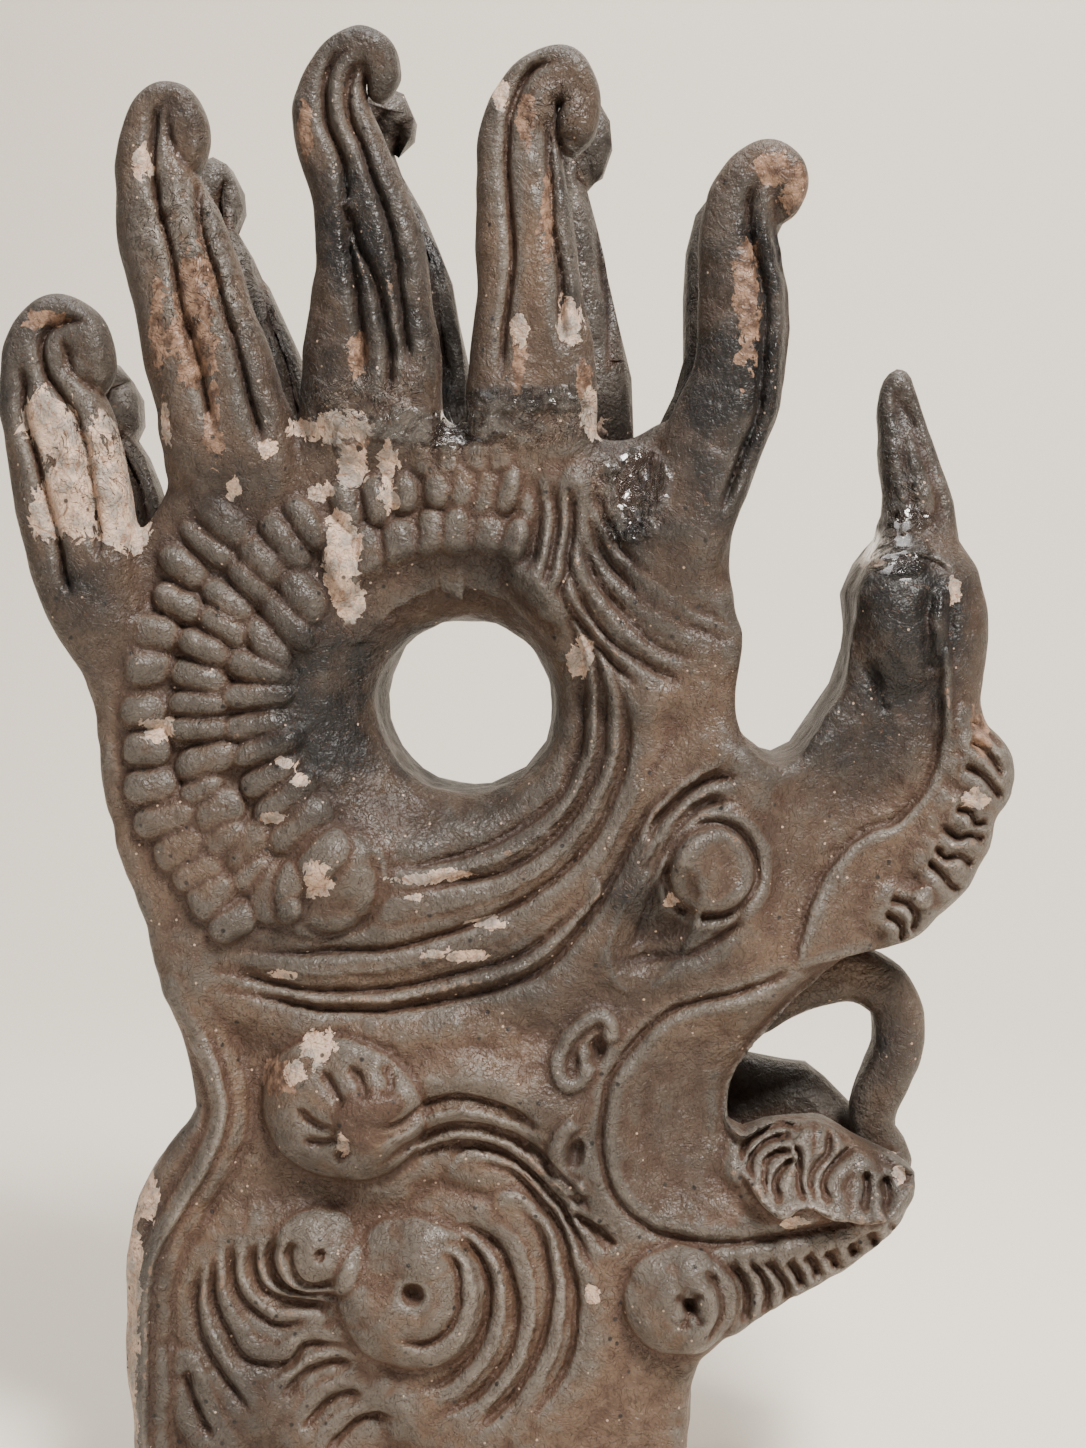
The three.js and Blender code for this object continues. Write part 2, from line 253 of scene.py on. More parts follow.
BACK_RIDGE = (
    (-101, 244), (-92, 228), (-86, 209), (-85, 191), (-92, 172), (-103, 154), (-114, 135),
    (-119, 114), (-121, 85), (-122, 52), (-122, 20),
)
NOSE_WRINKLES = (
    ((254, 375), (262, 371), (270, 362)),
    ((253, 366), (260, 362), (265, 356), (269, 350)),
    ((251, 355), (259, 351), (264, 345), (268, 340)),
    ((246, 337), (253, 335), (257, 330), (263, 331)),
    ((241, 329), (248, 324), (255, 325), (262, 321)),
    ((238, 320), (243, 314), (250, 315), (257, 309)),
    ((234, 313), (242, 306), (247, 301), (252, 299)),
    ((217, 294), (225, 293), (230, 288), (228, 280)),
    ((215, 288), (221, 286), (224, 282), (223, 276)),
)
BULB_SEAM = ((244, 440), (239, 420), (241, 400), (242, 384), (241, 366))
HORN_SEAM = ((208, 455), (203, 438), (198, 426), (193, 398), (184, 381), (173, 363))
NOSE_EDGE = ((262, 378), (264, 352), (257, 328), (248, 306), (230, 286), (214, 279))
HORN_GROOVES = (
    ((222, 531), (225, 504), (227, 486), (231, 465)),
    ((225, 525), (233, 502), (240, 481), (244, 465)),
)

# Pellets of clay laid in rows around the hole: x, z, length, width, and turn in degrees.
PELLETS = (
    (-83, 466, 27, 12, -40), (-56, 457, 26, 13, -55), (-46, 466, 24, 12, -58),
    (-28, 474, 22, 10, -70), (-31, 449, 37, 14, -72), (-15, 476, 21, 10, -80),
    (-90, 456, 28, 10, -38), (-66, 449, 25, 13, -45), (-49, 433, 25, 13, -55),
    (-102, 446, 22, 12, -30), (-82, 431, 25, 11, -38), (-72, 440, 24, 11, -48),
    (-55, 422, 31, 12, -45), (-104, 430, 21, 12, -25), (-84, 420, 25, 12, -35),
    (-64, 412, 26, 12, -50), (-115, 416, 21, 14, -8), (-93, 410, 24, 11, -25),
    (-69, 401, 30, 12, -16), (-118, 401, 20, 13, 0), (-96, 397, 24, 11, -12),
    (-70, 388, 31, 11, -2), (-121, 382, 20, 13, 0), (-96, 385, 25, 10, 0), (-70, 374, 30, 11, 6),
    (-120, 364, 21, 14, -4), (-96, 373, 26, 10, 0), (-64, 364, 31, 11, 18),
    (-118, 347, 23, 14, 4), (-92, 358, 28, 13, 18), (-63, 351, 28, 11, 30),
    (-111, 333, 29, 14, 14), (-95, 345, 21, 10, 24), (-88, 335, 23, 16, 28),
    (-56, 341, 31, 12, 36), (-104, 319, 24, 17, 20), (-85, 323, 21, 15, 40),
    (-75, 318, 27, 16, 48), (-50, 328, 32, 16, 42), (-96, 309, 24, 15, 24),
    (-73, 307, 24, 14, 42), (-61, 300, 29, 19, 50), (-40, 315, 26, 16, 48),
    (-90, 298, 23, 16, 30), (-81, 287, 22, 14, 30), (-56, 292, 14, 11, 20),
    (-18, 452, 27, 13, -78), (-4, 455, 22, 15, -84), (10, 459, 25, 12, 88),
    (21, 460, 26, 13, 88), (35, 459, 24, 15, 86), (46, 458, 19, 11, 70), (-2, 479, 16, 10, -85),
    (14, 482, 18, 12, 88), (24, 482, 20, 12, 88), (34, 479, 21, 12, 86), (43, 480, 20, 9, 80),
    (7, 495, 15, 11, 88), (19, 495, 15, 11, 88), (30, 495, 14, 11, 88), (40, 495, 14, 10, 80),
)

# ---- wear and repairs, as (x, z, reach across, reach up) in millimetres ------------------------

PALE_CHIPS = (
    (-161, 512, 12, 12), (-141, 485, 18, 23), (-156, 474, 12, 14), (-129, 476, 11, 17),
    (-125, 467, 7, 14), (-33, 508, 18, 6), (-26, 492, 6, 9), (-9, 493, 3, 9), (-8, 476, 4, 4),
    (-31, 449, 7, 20), (-27, 431, 7, 6), (-78, 481, 3, 4), (-41, 480, 5, 3), (-62, 498, 3, 2),
    (-108, 509, 2, 7), (82, 512, 4, 10), (72, 553, 4, 12), (76, 404, 5, 8), (2, 305, 13, 2),
    (20, 307, 11, 2), (23, 270, 11, 2), (-59, 261, 8, 2), (0, 297, 5, 1.5), (36, 285, 7, 1.5),
    (9, 271, 7, 1.5), (-41, 229, 7, 7), (-51, 218, 4, 4), (-41, 305, 6, 7), (-123, 157, 5, 11),
    (-129, 129, 4, 23), (-131, 92, 4, 33), (-131, 54, 4, 19), (174, 148, 5, 1.5),
    (256, 342, 7, 3), (118, 295, 3, 2), (82, 115, 2, 3), (-114, 373, 6, 4), (-56, 358, 4, 2),
    (-50, 350, 3, 2), (-62, 333, 5, 2), (246, 436, 2, 5), (210, 449, 4, 2), (-30, 186, 2, 5),
    (41, 655, 2, 7), (50, 551, 3, 7), (-117, 624, 3, 6), (224, 167, 2, 2),
)
TAN_CHIPS = (
    (-162, 557, 14, 4), (-111, 551, 3, 26), (-94, 552, 11, 40), (-86, 512, 4, 21),
    (174, 612, 12, 12), (160, 620, 8, 8), (53, 640, 4, 14), (78, 529, 3, 12), (-21, 540, 4, 10),
    (50, 540, 3, 16), (-45, 640, 3, 14), (258, 369, 5, 12), (-26, 505, 12, 8), (-60, 215, 10, 8),
    (-130, 100, 4, 60), (62, 600, 2, 20), (150, 560, 6, 30),
)
# Where the clay was mended with something that dried glossy.
MENDS = (
    (60, 519, 36, 8), (45, 510, 40, 14), (92, 486, 16, 12), (100, 470, 18, 14),
    (228, 466, 16, 10), (225, 482, 10, 8), (-100, 596, 26, 20), (-88, 560, 28, 24),
    (-140, 494, 22, 26), (-20, 520, 36, 16), (20, 505, 34, 12), (66, 648, 16, 14),
)
GLOSSY = (
    (52, 520, 34, 6), (104, 484, 15, 18), (14, 508, 40, 9), (222, 452, 16, 12), (95, 487, 10, 6),
    (98, 463, 14, 7), (228, 468, 12, 6), (-28, 502, 6, 10),
)
# Where the clay is paler again.
CLEANED = (
    (-104, 560, 34, 90), (48, 600, 22, 70), (-150, 500, 34, 60), (40, 480, 70, 30),
)
# Where smoke has darkened the clay.
SMOKED = (
    (-18, 590, 46, 90, 0.75), (10, 525, 80, 22, 0.45), (150, 530, 42, 124, 0.95),
    (224, 415, 42, 64, 1.0), (226, 500, 26, 66, 0.6), (190, 375, 54, 46, 0.55),
    (-35, 385, 42, 64, 0.72), (20, 335, 70, 34, 0.38), (-80, 490, 40, 50, 0.5),
    (-150, 430, 34, 60, 0.4), (-95, 380, 50, 80, 0.2), (85, 400, 34, 80, 0.25),
    (115, 268, 40, 26, 0.4), (150, 330, 70, 60, 0.12), (115, 200, 50, 60, 0.2),
    (100, 280, 24, 50, 0.45), (75, 190, 24, 60, 0.2), (60, 260, 60, 30, 0.25),
    (-60, 280, 60, 26, 0.2), (215, 165, 26, 22, 0.2), (150, 120, 40, 30, 0.08),
    (250, 340, 20, 30, 0.12), (-60, 170, 60, 22, 0.1), (-90, 60, 40, 60, 0.2),
    (185, 220, 60, 50, 0.1), (220, 225, 20, 46, 0.35), (-122, 100, 14, 80, 0.4),
    (-112, 200, 16, 30, 0.3), (52, 522, 36, 8, 1.0), (98, 463, 16, 8, 0.8),
)

# ---- flames: root to tip as (x, z, half width), and the flutes along them ---------------------

FLAMES = (
    {
        "far": (6, -8, -20),
        "line": (
            (-122, 380, 14), (-137, 412, 19), (-148, 445, 24), (-154, 480, 26), (-159, 508, 24),
            (-166, 526, 19), (-168, 545, 15), (-159, 556, 12), (-148, 551, 10), (-143, 537, 9),
            (-143, 528, 6),
        ),
        "flutes": (
            (
                (-142, 555), (-155, 556), (-164, 549), (-163, 534), (-154, 520), (-146, 503),
                (-141, 476), (-138, 449),
            ),
            ((-173, 538), (-171, 511), (-165, 485), (-158, 458), (-151, 431)),
        ),
    },
    {
        "far": (13, -1, -18),
        "line": (
            (-78, 462, 27), (-83, 502, 30), (-93, 545, 27), (-100, 570, 26), (-107, 592, 24),
            (-112, 612, 19), (-118, 634, 13), (-114, 650, 10), (-105, 653, 9), (-99, 641, 9),
            (-99, 629, 7),
        ),
        "flutes": (
            (
                (-104, 654), (-113, 648), (-114, 630), (-112, 608), (-105, 582), (-99, 555),
                (-92, 529), (-86, 502),
            ),
            ((-96, 621), (-93, 599), (-85, 573), (-78, 547), (-71, 520), (-65, 498)),
        ),
    },
    {
        "far": (11, -3, -8),
        "line": (
            (-16, 486, 30), (-17, 530, 32), (-17, 560, 28), (-17, 587, 24), (-23, 611, 21),
            (-31, 632, 19), (-35, 653, 16), (-29, 670, 12), (-18, 676, 10), (-11, 667, 8),
            (-13, 657, 5),
        ),
        "flutes": (
            (
                (-24, 675), (-33, 670), (-37, 658), (-35, 643), (-30, 625), (-27, 606),
                (-25, 586), (-22, 564), (-20, 542), (-20, 524),
            ),
            (
                (-15, 669), (-24, 665), (-27, 653), (-24, 640), (-18, 623), (-10, 603),
                (-5, 581), (-2, 555), (0, 532),
            ),
            ((-27, 608), (-22, 590), (-13, 571), (-9, 546), (-9, 522)),
            ((-5, 638), (4, 612), (9, 586), (12, 551), (15, 522)),
        ),
    },
    {
        "far": (20, 2, -2),
        "line": (
            (55, 482, 27), (55, 530, 29), (54, 565, 24), (52, 592, 23), (50, 617, 20),
            (49, 638, 18), (54, 657, 14), (68, 666, 11), (77, 655, 9), (76, 643, 9),
            (73, 635, 6),
        ),
        "flutes": (
            (
                (68, 669), (55, 666), (47, 653), (44, 634), (45, 607), (46, 581), (43, 555),
                (42, 542), (42, 528),
            ),
            ((62, 646), (62, 625), (64, 603), (67, 581), (68, 555), (69, 540)),
            ((73, 629), (75, 607), (77, 581), (78, 551)),
        ),
    },
    {
        "far": (-4, -4, 0),
        "line": (
            (114, 410, 18), (122, 455, 21), (136, 500, 22), (147, 530, 21), (150, 562, 20),
            (147, 590, 18), (149, 610, 15), (157, 624, 12), (168, 621, 10), (169, 609, 7),
            (165, 602, 4),
        ),
        "flutes": (
            (
                (160, 618), (152, 611), (151, 596), (156, 576), (158, 559), (157, 537),
                (154, 515), (145, 489), (137, 467),
            ),
            ((161, 603), (164, 585), (168, 568), (168, 542), (165, 515), (159, 493), (150, 476)),
        ),
    },
)
FLAME_ROW = 49
FLAME_DEPTH = 21
# How far a flame's face starts below its full depth, so that the rolls can rise from it.
FLUTE_SINK = 4.0

TONGUE = (
    (157, 236, 13), (173, 245, 13), (190, 251, 13), (204, 253, 13), (216, 250, 13),
    (225, 240, 12), (227, 222, 12), (222, 205, 12), (216, 190, 11), (216, 178, 10), (222, 169, 9),
    (228, 163, 6),
)

# ---- the studio, in metres --------------------------------------------------------------------

MIDDLE = (0.05, 0, 0.38)
# Name, place, what it is aimed at, size, power in watts, and colour.
LIGHTS = (
    ("key", (0.8, -1.15, 2.0), MIDDLE, (0.6, 0.6), 120, (1.0, 0.96, 0.91)),
    ("fill", (-1.9, -1.4, 1.1), MIDDLE, (1.2, 1.2), 9, (0.94, 0.97, 1.0)),
    ("top", (-0.4, 0.1, 2.2), MIDDLE, (1.2, 0.7), 22, (1.0, 0.98, 0.96)),
    ("backdrop", (0.9, 1.3, 2.8), (0.6, 2.6, 0.9), (2.0, 0.6), 62, (1.0, 0.98, 0.95)),
)
ROOM_COLOUR = (0.92, 0.9, 0.87)
ROOM_STRENGTH = 0.22
PAPER_FRONT = -4.0
PAPER_BEND = 1.3
PAPER_RADIUS = 1.2
PAPER_STEPS = 16
PAPER_TOP = 5.0
PAPER_HALF_WIDTH = 5.0
CAMERA_PLACE = (0.0945, -1.154, 0.4478)
# How far the camera looks down, and how far it is turned to the left, in degrees.
CAMERA_DIP = 3.77
CAMERA_TURN = 1.8
LENS = 60.7
SENSOR_WIDTH = 36


# ---- numbers ----------------------------------------------------------------------------------

def smoothstep(low, high, value):
    t = np.clip((value - low) / (high - low), 0, 1)
    return t * t * (3 - 2 * t)


def smooth_line(points, spacing):
    """A smooth line through the points, sampled about every `spacing` millimetres."""
    points = np.asarray(points, dtype=float)
    if len(points) == 2:
        count = max(2, int(np.linalg.norm(points[1] - points[0]) / spacing))
        t = np.linspace(0, 1, count + 1)[:, None]
        return points[0] * (1 - t) + points[1] * t
    ends = np.vstack([2 * points[0] - points[1], points, 2 * points[-1] - points[-2]])
    pieces = []
    for i in range(1, len(ends) - 2):
        before, start, stop, after = ends[i - 1:i + 3]
        count = max(2, int(np.linalg.norm(stop[:2] - start[:2]) / spacing))
        t = np.linspace(0, 1, count, endpoint=False)[:, None]
        bend = 2 * before - 5 * start + 4 * stop - after
        twist = 3 * start - before - 3 * stop + after
        pieces.append(start + 0.5 * t * ((stop - before) + t * (bend + t * twist)))
    pieces.append(points[-1:])
    return np.vstack(pieces)


def narrow(distance, width):
    """One on a line, falling away quickly beside it, with a small round bottom."""
    return np.exp(-(np.hypot(distance, 1.1) - 1.1) / width)


def value_noise(shape, step, cell, seed):
    """Smooth noise from -1 to 1 over a box of grid points, with lumps about `cell` wide."""
    counts = [int(math.ceil(n * step / cell)) + 2 for n in shape]
    noise = np.random.default_rng(seed).uniform(-1, 1, counts).astype(np.float32)
    for axis, length in enumerate(shape):
        place = np.arange(length, dtype=np.float32) * step / cell
        index = place.astype(int)
        t = smoothstep(0, 1, place - index).astype(np.float32)
        t = t.reshape([-1 if i == axis else 1 for i in range(len(shape))])
        noise = np.take(noise, index, axis) * (1 - t) + np.take(noise, index + 1, axis) * t
    return noise


def smooth_min(first, second, blend):
    """The lower of two fields, with a fillet where they meet."""
    gap = np.clip(0.5 + 0.5 * (second - first) / blend, 0, 1)
    return second * (1 - gap) + first * gap - blend * gap * (1 - gap)


def spots(places, x, z):
    """One at the middle of each spot, and nothing beyond its reach."""
    total = np.zeros(np.shape(x))
    for spot in places:
        across, up = spot[2:4]
        strength = spot[4] if len(spot) > 4 else 1
        fade = 1 - ((x - spot[0]) / across) ** 2 - ((z - spot[1]) / up) ** 2
        total = np.maximum(total, strength * np.clip(fade, 0, 1))
    return total


def patches(places, x, z):
    """Falls evenly from one in the middle of each patch to nothing a little beyond its reach."""
    total = np.zeros(np.shape(x))
    for px, pz, across, up in places:
        reach = np.hypot((x - px) / (across + 1), (z - pz) / (up + 1))
        total = np.maximum(total, 1 - reach / 1.35)
    return total


# ---- the grid, and the sheet of heights over X and Z -------------------------------------------

class Grid:
    """Points about `step` millimetres apart that fill the beast's box, with a margin."""

    def __init__(self, step, margin=6):
        low, high = (np.array(corner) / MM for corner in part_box(NODE))
        self.step = step
        self.low = low - margin
        self.counts = tuple(int(n) for n in np.ceil((high - low + 2 * margin) / step))
        self.x, self.y, self.z = (
            (self.low[i] + step * np.arange(self.counts[i])).astype(np.float32) for i in range(3)
        )
        self.sheet_x, self.sheet_z = np.meshgrid(self.x, self.z, indexing="ij")
        self.sheet_shape = self.sheet_x.shape
        # the carver's hand: lines wander by about a millimetre
        for cell, amount in LINE_WANDER:
            self.sheet_x = self.sheet_x + amount * value_noise(self.sheet_shape, step, cell, 11)
            self.sheet_z = self.sheet_z + amount * value_noise(self.sheet_shape, step, cell, 12)

    def window(self, low, high):
        """The slices of X and Z that cover a rectangle."""
        slices = []
        for axis, place in ((0, 0), (2, 1)):
            first = int((low[place] - self.low[axis]) / self.step)
            last = int((high[place] - self.low[axis]) / self.step) + 2
            slices.append(slice(max(first, 0), min(max(last, 1), self.counts[axis])))
        return tuple(slices)


class Reach:
    """The part of the sheet near a line: how far it is, where along the line, and which side."""

    def __init__(self, grid, points, reach):
        line = smooth_line(points, max(0.8, 0.6 * grid.step))
        self.window = grid.window(line[:, :2].min(0) - reach, line[:, :2].max(0) + reach)
        x = grid.sheet_x[self.window]
        z = grid.sheet_z[self.window]
        radius = line[:, 2] if line.shape[1] > 2 else np.zeros(len(line))
        best = np.full(x.shape, 1e9)
        nearest = np.zeros(x.shape, dtype=int)
        for k, (px, pz) in enumerate(line[:, :2]):
            gap = np.hypot(x - px, z - pz) - radius[k]
            closer = gap < best
            best[closer] = gap[closer]
            nearest[closer] = k
        tangent = np.gradient(line[:, :2], axis=0)
        tangent /= np.linalg.norm(tangent, axis=1)[:, None] + 1e-9
        dx = x - line[nearest, 0]
        dz = z - line[nearest, 1]
        self.side = dx * tangent[nearest, 1] - dz * tangent[nearest, 0]
        ended = (nearest == 0) | (nearest == len(line) - 1)
        self.distance = np.where(ended, np.hypot(dx, dz), np.abs(self.side))
        self.along = nearest / (len(line) - 1)
        self.radius = radius[nearest]
        self.gap = best

    def taper(self, start=0.15, stop=0.15):
        """Fades towards the two ends of the line."""
        return smoothstep(-0.01, start, self.along) * smoothstep(-0.01, stop, 1 - self.along)


def outline_distance(grid, polygon):
    """Distance to a closed outline over the whole sheet, negative inside it."""
    x = grid.sheet_x
    z = grid.sheet_z
    best = np.full(grid.sheet_shape, 1e9, dtype=np.float32)
    inside = np.zeros(grid.sheet_shape, dtype=bool)
    for (ax, az), (bx, bz) in zip(polygon, np.roll(polygon, -1, axis=0)):
        ex = bx - ax
        ez = bz - az
        length = ex * ex + ez * ez
        if length < 1e-6:
            continue
        t = np.clip(((x - ax) * ex + (z - az) * ez) / length, 0, 1)
        best = np.minimum(best, (x - ax - t * ex) ** 2 + (z - az - t * ez) ** 2)
        if az != bz:
            crosses = ((az > z) != (bz > z)) & (x < ax + (z - az) * ex / ez)
            inside ^= crosses
    distance = np.sqrt(best)
    return np.where(inside, -distance, distance)


def closed_outline(stretches, spacing):
    return np.vstack([smooth_line(stretch, spacing)[:-1] for stretch in stretches])


# ---- the relief on a face ----------------------------------------------------------------------

class Relief:
    """Heights above the plain face."""

    def __init__(self, grid, fine):
        self.grid = grid
        self.fine = fine
        self.height = np.zeros(grid.sheet_shape)

    def crease(self, points, depth, soft=2.2, start=0.12, stop=0.12):
        """A groove with a narrow bottom and soft shoulders."""
        near = Reach(self.grid, points, 6 * soft)
        cut = depth * narrow(near.distance, soft) * near.taper(start, stop)
        self.height[near.window] -= cut

    def groove(self, points, depth, width, start=0.05, stop=0.05):
        """A groove with a round bottom."""
        near = Reach(self.grid, points, width)
        bowl = np.clip(1 - (near.distance / width) ** 2, 0, 1) ** 1.5
        self.height[near.window] -= depth * bowl * near.taper(start, stop)

    def ridge(self, points, rise, width, start=0.15, stop=0.15):
        """A rounded cord."""
        near = Reach(self.grid, points, width)
        crown = np.clip(1 - (near.distance / width) ** 2, 0, 1)
        self.height[near.window] += rise * crown * near.taper(start, stop)

    def fold(self, points, rise, reach, side=1, start=0.15, stop=0.15):
        """Clay that stands up sharply at the line and sinks back slowly on one side of it."""
        near = Reach(self.grid, points, reach)
        away = near.side * side
        step = smoothstep(-0.9, 0.9, away) * np.exp(-np.clip(away, 0, None) / (0.45 * reach))
        fade = smoothstep(0, 0.35 * reach, reach - near.distance)
        self.height[near.window] += rise * step * near.taper(start, stop) * fade

    def boss(self, x, z, radius, rise, stretch=1.0, turn=0.0, power=1.0):
        """A low dome, longer along `turn`, in degrees, where `stretch` is above one."""
        turn = math.radians(turn)
        reach = radius * max(stretch, 1)
        window = self.grid.window((x - reach, z - reach), (x + reach, z + reach))
        dx = self.grid.sheet_x[window] - x
        dz = self.grid.sheet_z[window] - z
        long = dx * math.cos(turn) + dz * math.sin(turn)
        wide = dz * math.cos(turn) - dx * math.sin(turn)
        dome = np.clip(1 - (long / (radius * stretch)) ** 2 - (wide / radius) ** 2, 0, 1)
        self.height[window] += rise * dome ** power

    def rolls(self, lines, rise, reach, depth, sharp=1.3, roll=5.0, ends=0.2, lap=0.0):
        """Soft rolls of clay with a crease between them. `lap` lifts one side over the next."""
        nearest = np.full(self.grid.sheet_shape, 1e3)
        strength = np.zeros(self.grid.sheet_shape)
        side = np.zeros(self.grid.sheet_shape)
        for line in lines:
            near = Reach(self.grid, line, 1.6 * reach)
            closer = near.distance < nearest[near.window]
            nearest[near.window][closer] = near.distance[closer]
            strength[near.window][closer] = near.taper(ends, ends)[closer]
            side[near.window][closer] = near.side[closer]
        inside = smoothstep(1.5 * reach, 0.4 * reach, nearest)
        self.height += rise * inside * (1 - strength * np.exp(-nearest / roll))
        self.height -= depth * strength * narrow(nearest, sharp)
        over = smoothstep(-1.0, 1.0, side) - 0.5
        self.height += 2 * lap * inside * strength * over * np.exp(-nearest / (1.6 * roll))

    def pillow(self, x, z, length, width, rise, turn):
        """A pellet of clay pressed on: steep at its edge and flat on top. `turn` is in degrees."""
        turn = math.radians(turn)
        window = self.grid.window((x - length, z - length), (x + length, z + length))
        dx = self.grid.sheet_x[window] - x
        dz = self.grid.sheet_z[window] - z
        long = (dx * math.cos(turn) + dz * math.sin(turn)) / (0.5 * length)
        wide = (dz * math.cos(turn) - dx * math.sin(turn)) / (0.5 * width)
        shape = np.clip(1 - np.abs(long) ** 2.8 - np.abs(wide) ** 2, 0, 1) ** 0.62
        self.height[window] = np.maximum(self.height[window], rise * shape)

    def band(self, first, second, depth, power):
        """Sinks the face between two lines: none at the first, all of it at the second."""
        outline = np.vstack([smooth_line(first, 3), smooth_line(second[::-1], 3)])
        inside = smoothstep(2, -2, outline_distance(self.grid, outline))
        reach = 75
        away = np.full(self.grid.sheet_shape, 1e3)
        near = Reach(self.grid, first, reach)
        away[near.window] = near.distance
        across = np.full(self.grid.sheet_shape, 1e3)
        near = Reach(self.grid, second, reach)
        across[near.window] = near.distance
        self.height -= depth * inside * (away / (away + across + 1e-6)) ** power


def lay_pellets(relief):
    random = np.random.default_rng(7)
    for x, z, length, width, turn in PELLETS:
        relief.pillow(x, z, 1.17 * length, 1.3 * width, random.uniform(*PELLET_RISE), turn)


def roughen(relief, lumps, mend_seed):
    """Leaves the surface uneven, and rougher where it was mended."""
    grid = relief.grid
    for size, amount, seed in lumps:
        relief.height += amount * value_noise(grid.sheet_shape, grid.step, size, seed)
    size, amount = MEND_LUMPS
    mended = smoothstep(0, 0.8, spots(MENDS, grid.sheet_x, grid.sheet_z))
    relief.height += amount * mended * value_noise(grid.sheet_shape, grid.step, size, mend_seed)


def carve_face(relief):
    """All the carving of one face. The far face leaves out the fine wrinkles."""
    sheet = relief.grid
    away = np.hypot(sheet.sheet_x - HOLE[0], sheet.sheet_z - HOLE[1])
    lay_pellets(relief)
    # the end of the pellets, rolled up into a lobe
    relief.boss(-36, 303, 22, 9, stretch=1.3, turn=50, power=0.6)
    relief.crease(((-50, 284), (-36, 279), (-21, 287), (-15, 303), (-19, 320)), 4.0, 2.0)
    relief.height *= smoothstep(66, 78, away)
    relief.rolls(HOLE_FOLDS, 4.6, 17, 1.8, sharp=1.1, roll=4.4, lap=-2.4)
    relief.rolls(FAN_CREASES, 4.0, 13, 1.8, sharp=1.1, roll=3.4, lap=1.8)
    relief.rolls(CROWN_STRANDS, 5.5, 9, 3.0, roll=4.0, lap=1.5)
    # the dish around the hole
    bowl = np.clip(1 - (away - HOLE_RADIUS) / DISH_WIDTH, 0, 1)
    relief.height -= DISH_DEPTH * bowl ** 1.7
    # the eye: a smooth disc in a groove, with a hollow at its inner corner
    relief.boss(111, 284, 17, -9, stretch=1.9, turn=62, power=0.8)
    relief.boss(137, 309, 28, 5, power=0.6)
    relief.boss(137, 309, 19, 6, power=0.55)
    relief.rolls((EYE_RIM,), 2.5, 8, 4.0, sharp=1.4, roll=2.5, ends=0.02)
    relief.rolls(EYE_CORNER, 3.0, 10, 1.8, sharp=1.1, roll=4.0, lap=1.6)
    carve_snout(relief)
    carve_mouth(relief)
    carve_shoulder(relief)
    roughen(relief, FACE_LUMPS, FACE_MEND_SEED)


def carve_snout(relief):
    relief.fold(SNOUT_LINE, 6, 44, side=1, start=0.08, stop=0.25)
    relief.crease(SNOUT_LINE, 2.0, 1.5)
    relief.boss(182, 330, 44, -5, stretch=1.4, turn=70, power=1.5)
    # the bulb under the horn, with a torn edge below it
    relief.boss(223, 420, 22, 12, stretch=1.5, turn=97, power=0.9)
    relief.crease(((206, 404), (211, 394), (213, 385), (217, 381)), 4.0, 1.6)
    relief.ridge(BULB_SEAM, 4.5, 5, start=0.1)
    relief.crease(((234, 436), (233, 418), (235, 398)), 4.0, 2.0)
    relief.ridge(HORN_SEAM, 3.5, 6)
    relief.fold(((204, 440), (210, 449), (222, 452), (238, 449), (248, 441)), 4.0, 9, side=-1)
    relief.boss(233, 297, 5.5, 5, power=0.6)
    if relief.fine:
        relief.ridge(NOSE_EDGE, 5.0, 15, start=0.1, stop=0.1)
        relief.rolls(NOSE_WRINKLES, 4.0, 8, 3.0, sharp=1.1, roll=2.2, ends=0.14, lap=2.4)
    for line in HORN_GROOVES:
        relief.crease(line, 4.5, 1.6)


def carve_mouth(relief):
    relief.band(LIP_GROOVE, LIP_EDGE, 13, 1.4)
    relief.fold(LIP_GROOVE, 4.5, 22, side=-1, start=0.1, stop=0.1)
    relief.groove(LIP_GROOVE, 2.5, 4.0)
    relief.crease(LIP_GROOVE, 2.0, 1.3, start=0.03, stop=0.03)
    # the ball of the jaw with its broken pit, and the beard behind it
    relief.boss(122, 112, 26, 18, power=0.7)
    relief.boss(127, 112, 4.5, -6)
    relief.crease(((120, 118), (127, 112), (133, 103)), 4.0, 1.8)
    relief.crease(((132, 120), (127, 112), (124, 102)), 4.0, 1.4)
    relief.rolls(BEARD, 4.5, 9, 2.2, sharp=1.2, roll=3.0, lap=2.4)
    if relief.fine:
        relief.fold(FRILL_EDGE, 10.0, 40, side=-1, start=0.05, stop=0.05)
        relief.rolls(FRILL, 5.0, 8, 4.0, sharp=1.2, roll=2.8, ends=0.2, lap=2.4)
    # small hooked scrolls
    for line in SMALL_SCROLLS:
        relief.ridge(line, 5.0, 4.2, start=0.05, stop=0.05)
        relief.crease(line, 0.8, 1.2)
    relief.boss(84, 227, 5.5, -6, stretch=1.5, turn=70)
    relief.boss(75, 180, 4.5, -6, stretch=1.7, turn=80)
    relief.boss(78, 205, 30, 4, stretch=1.6, turn=85)


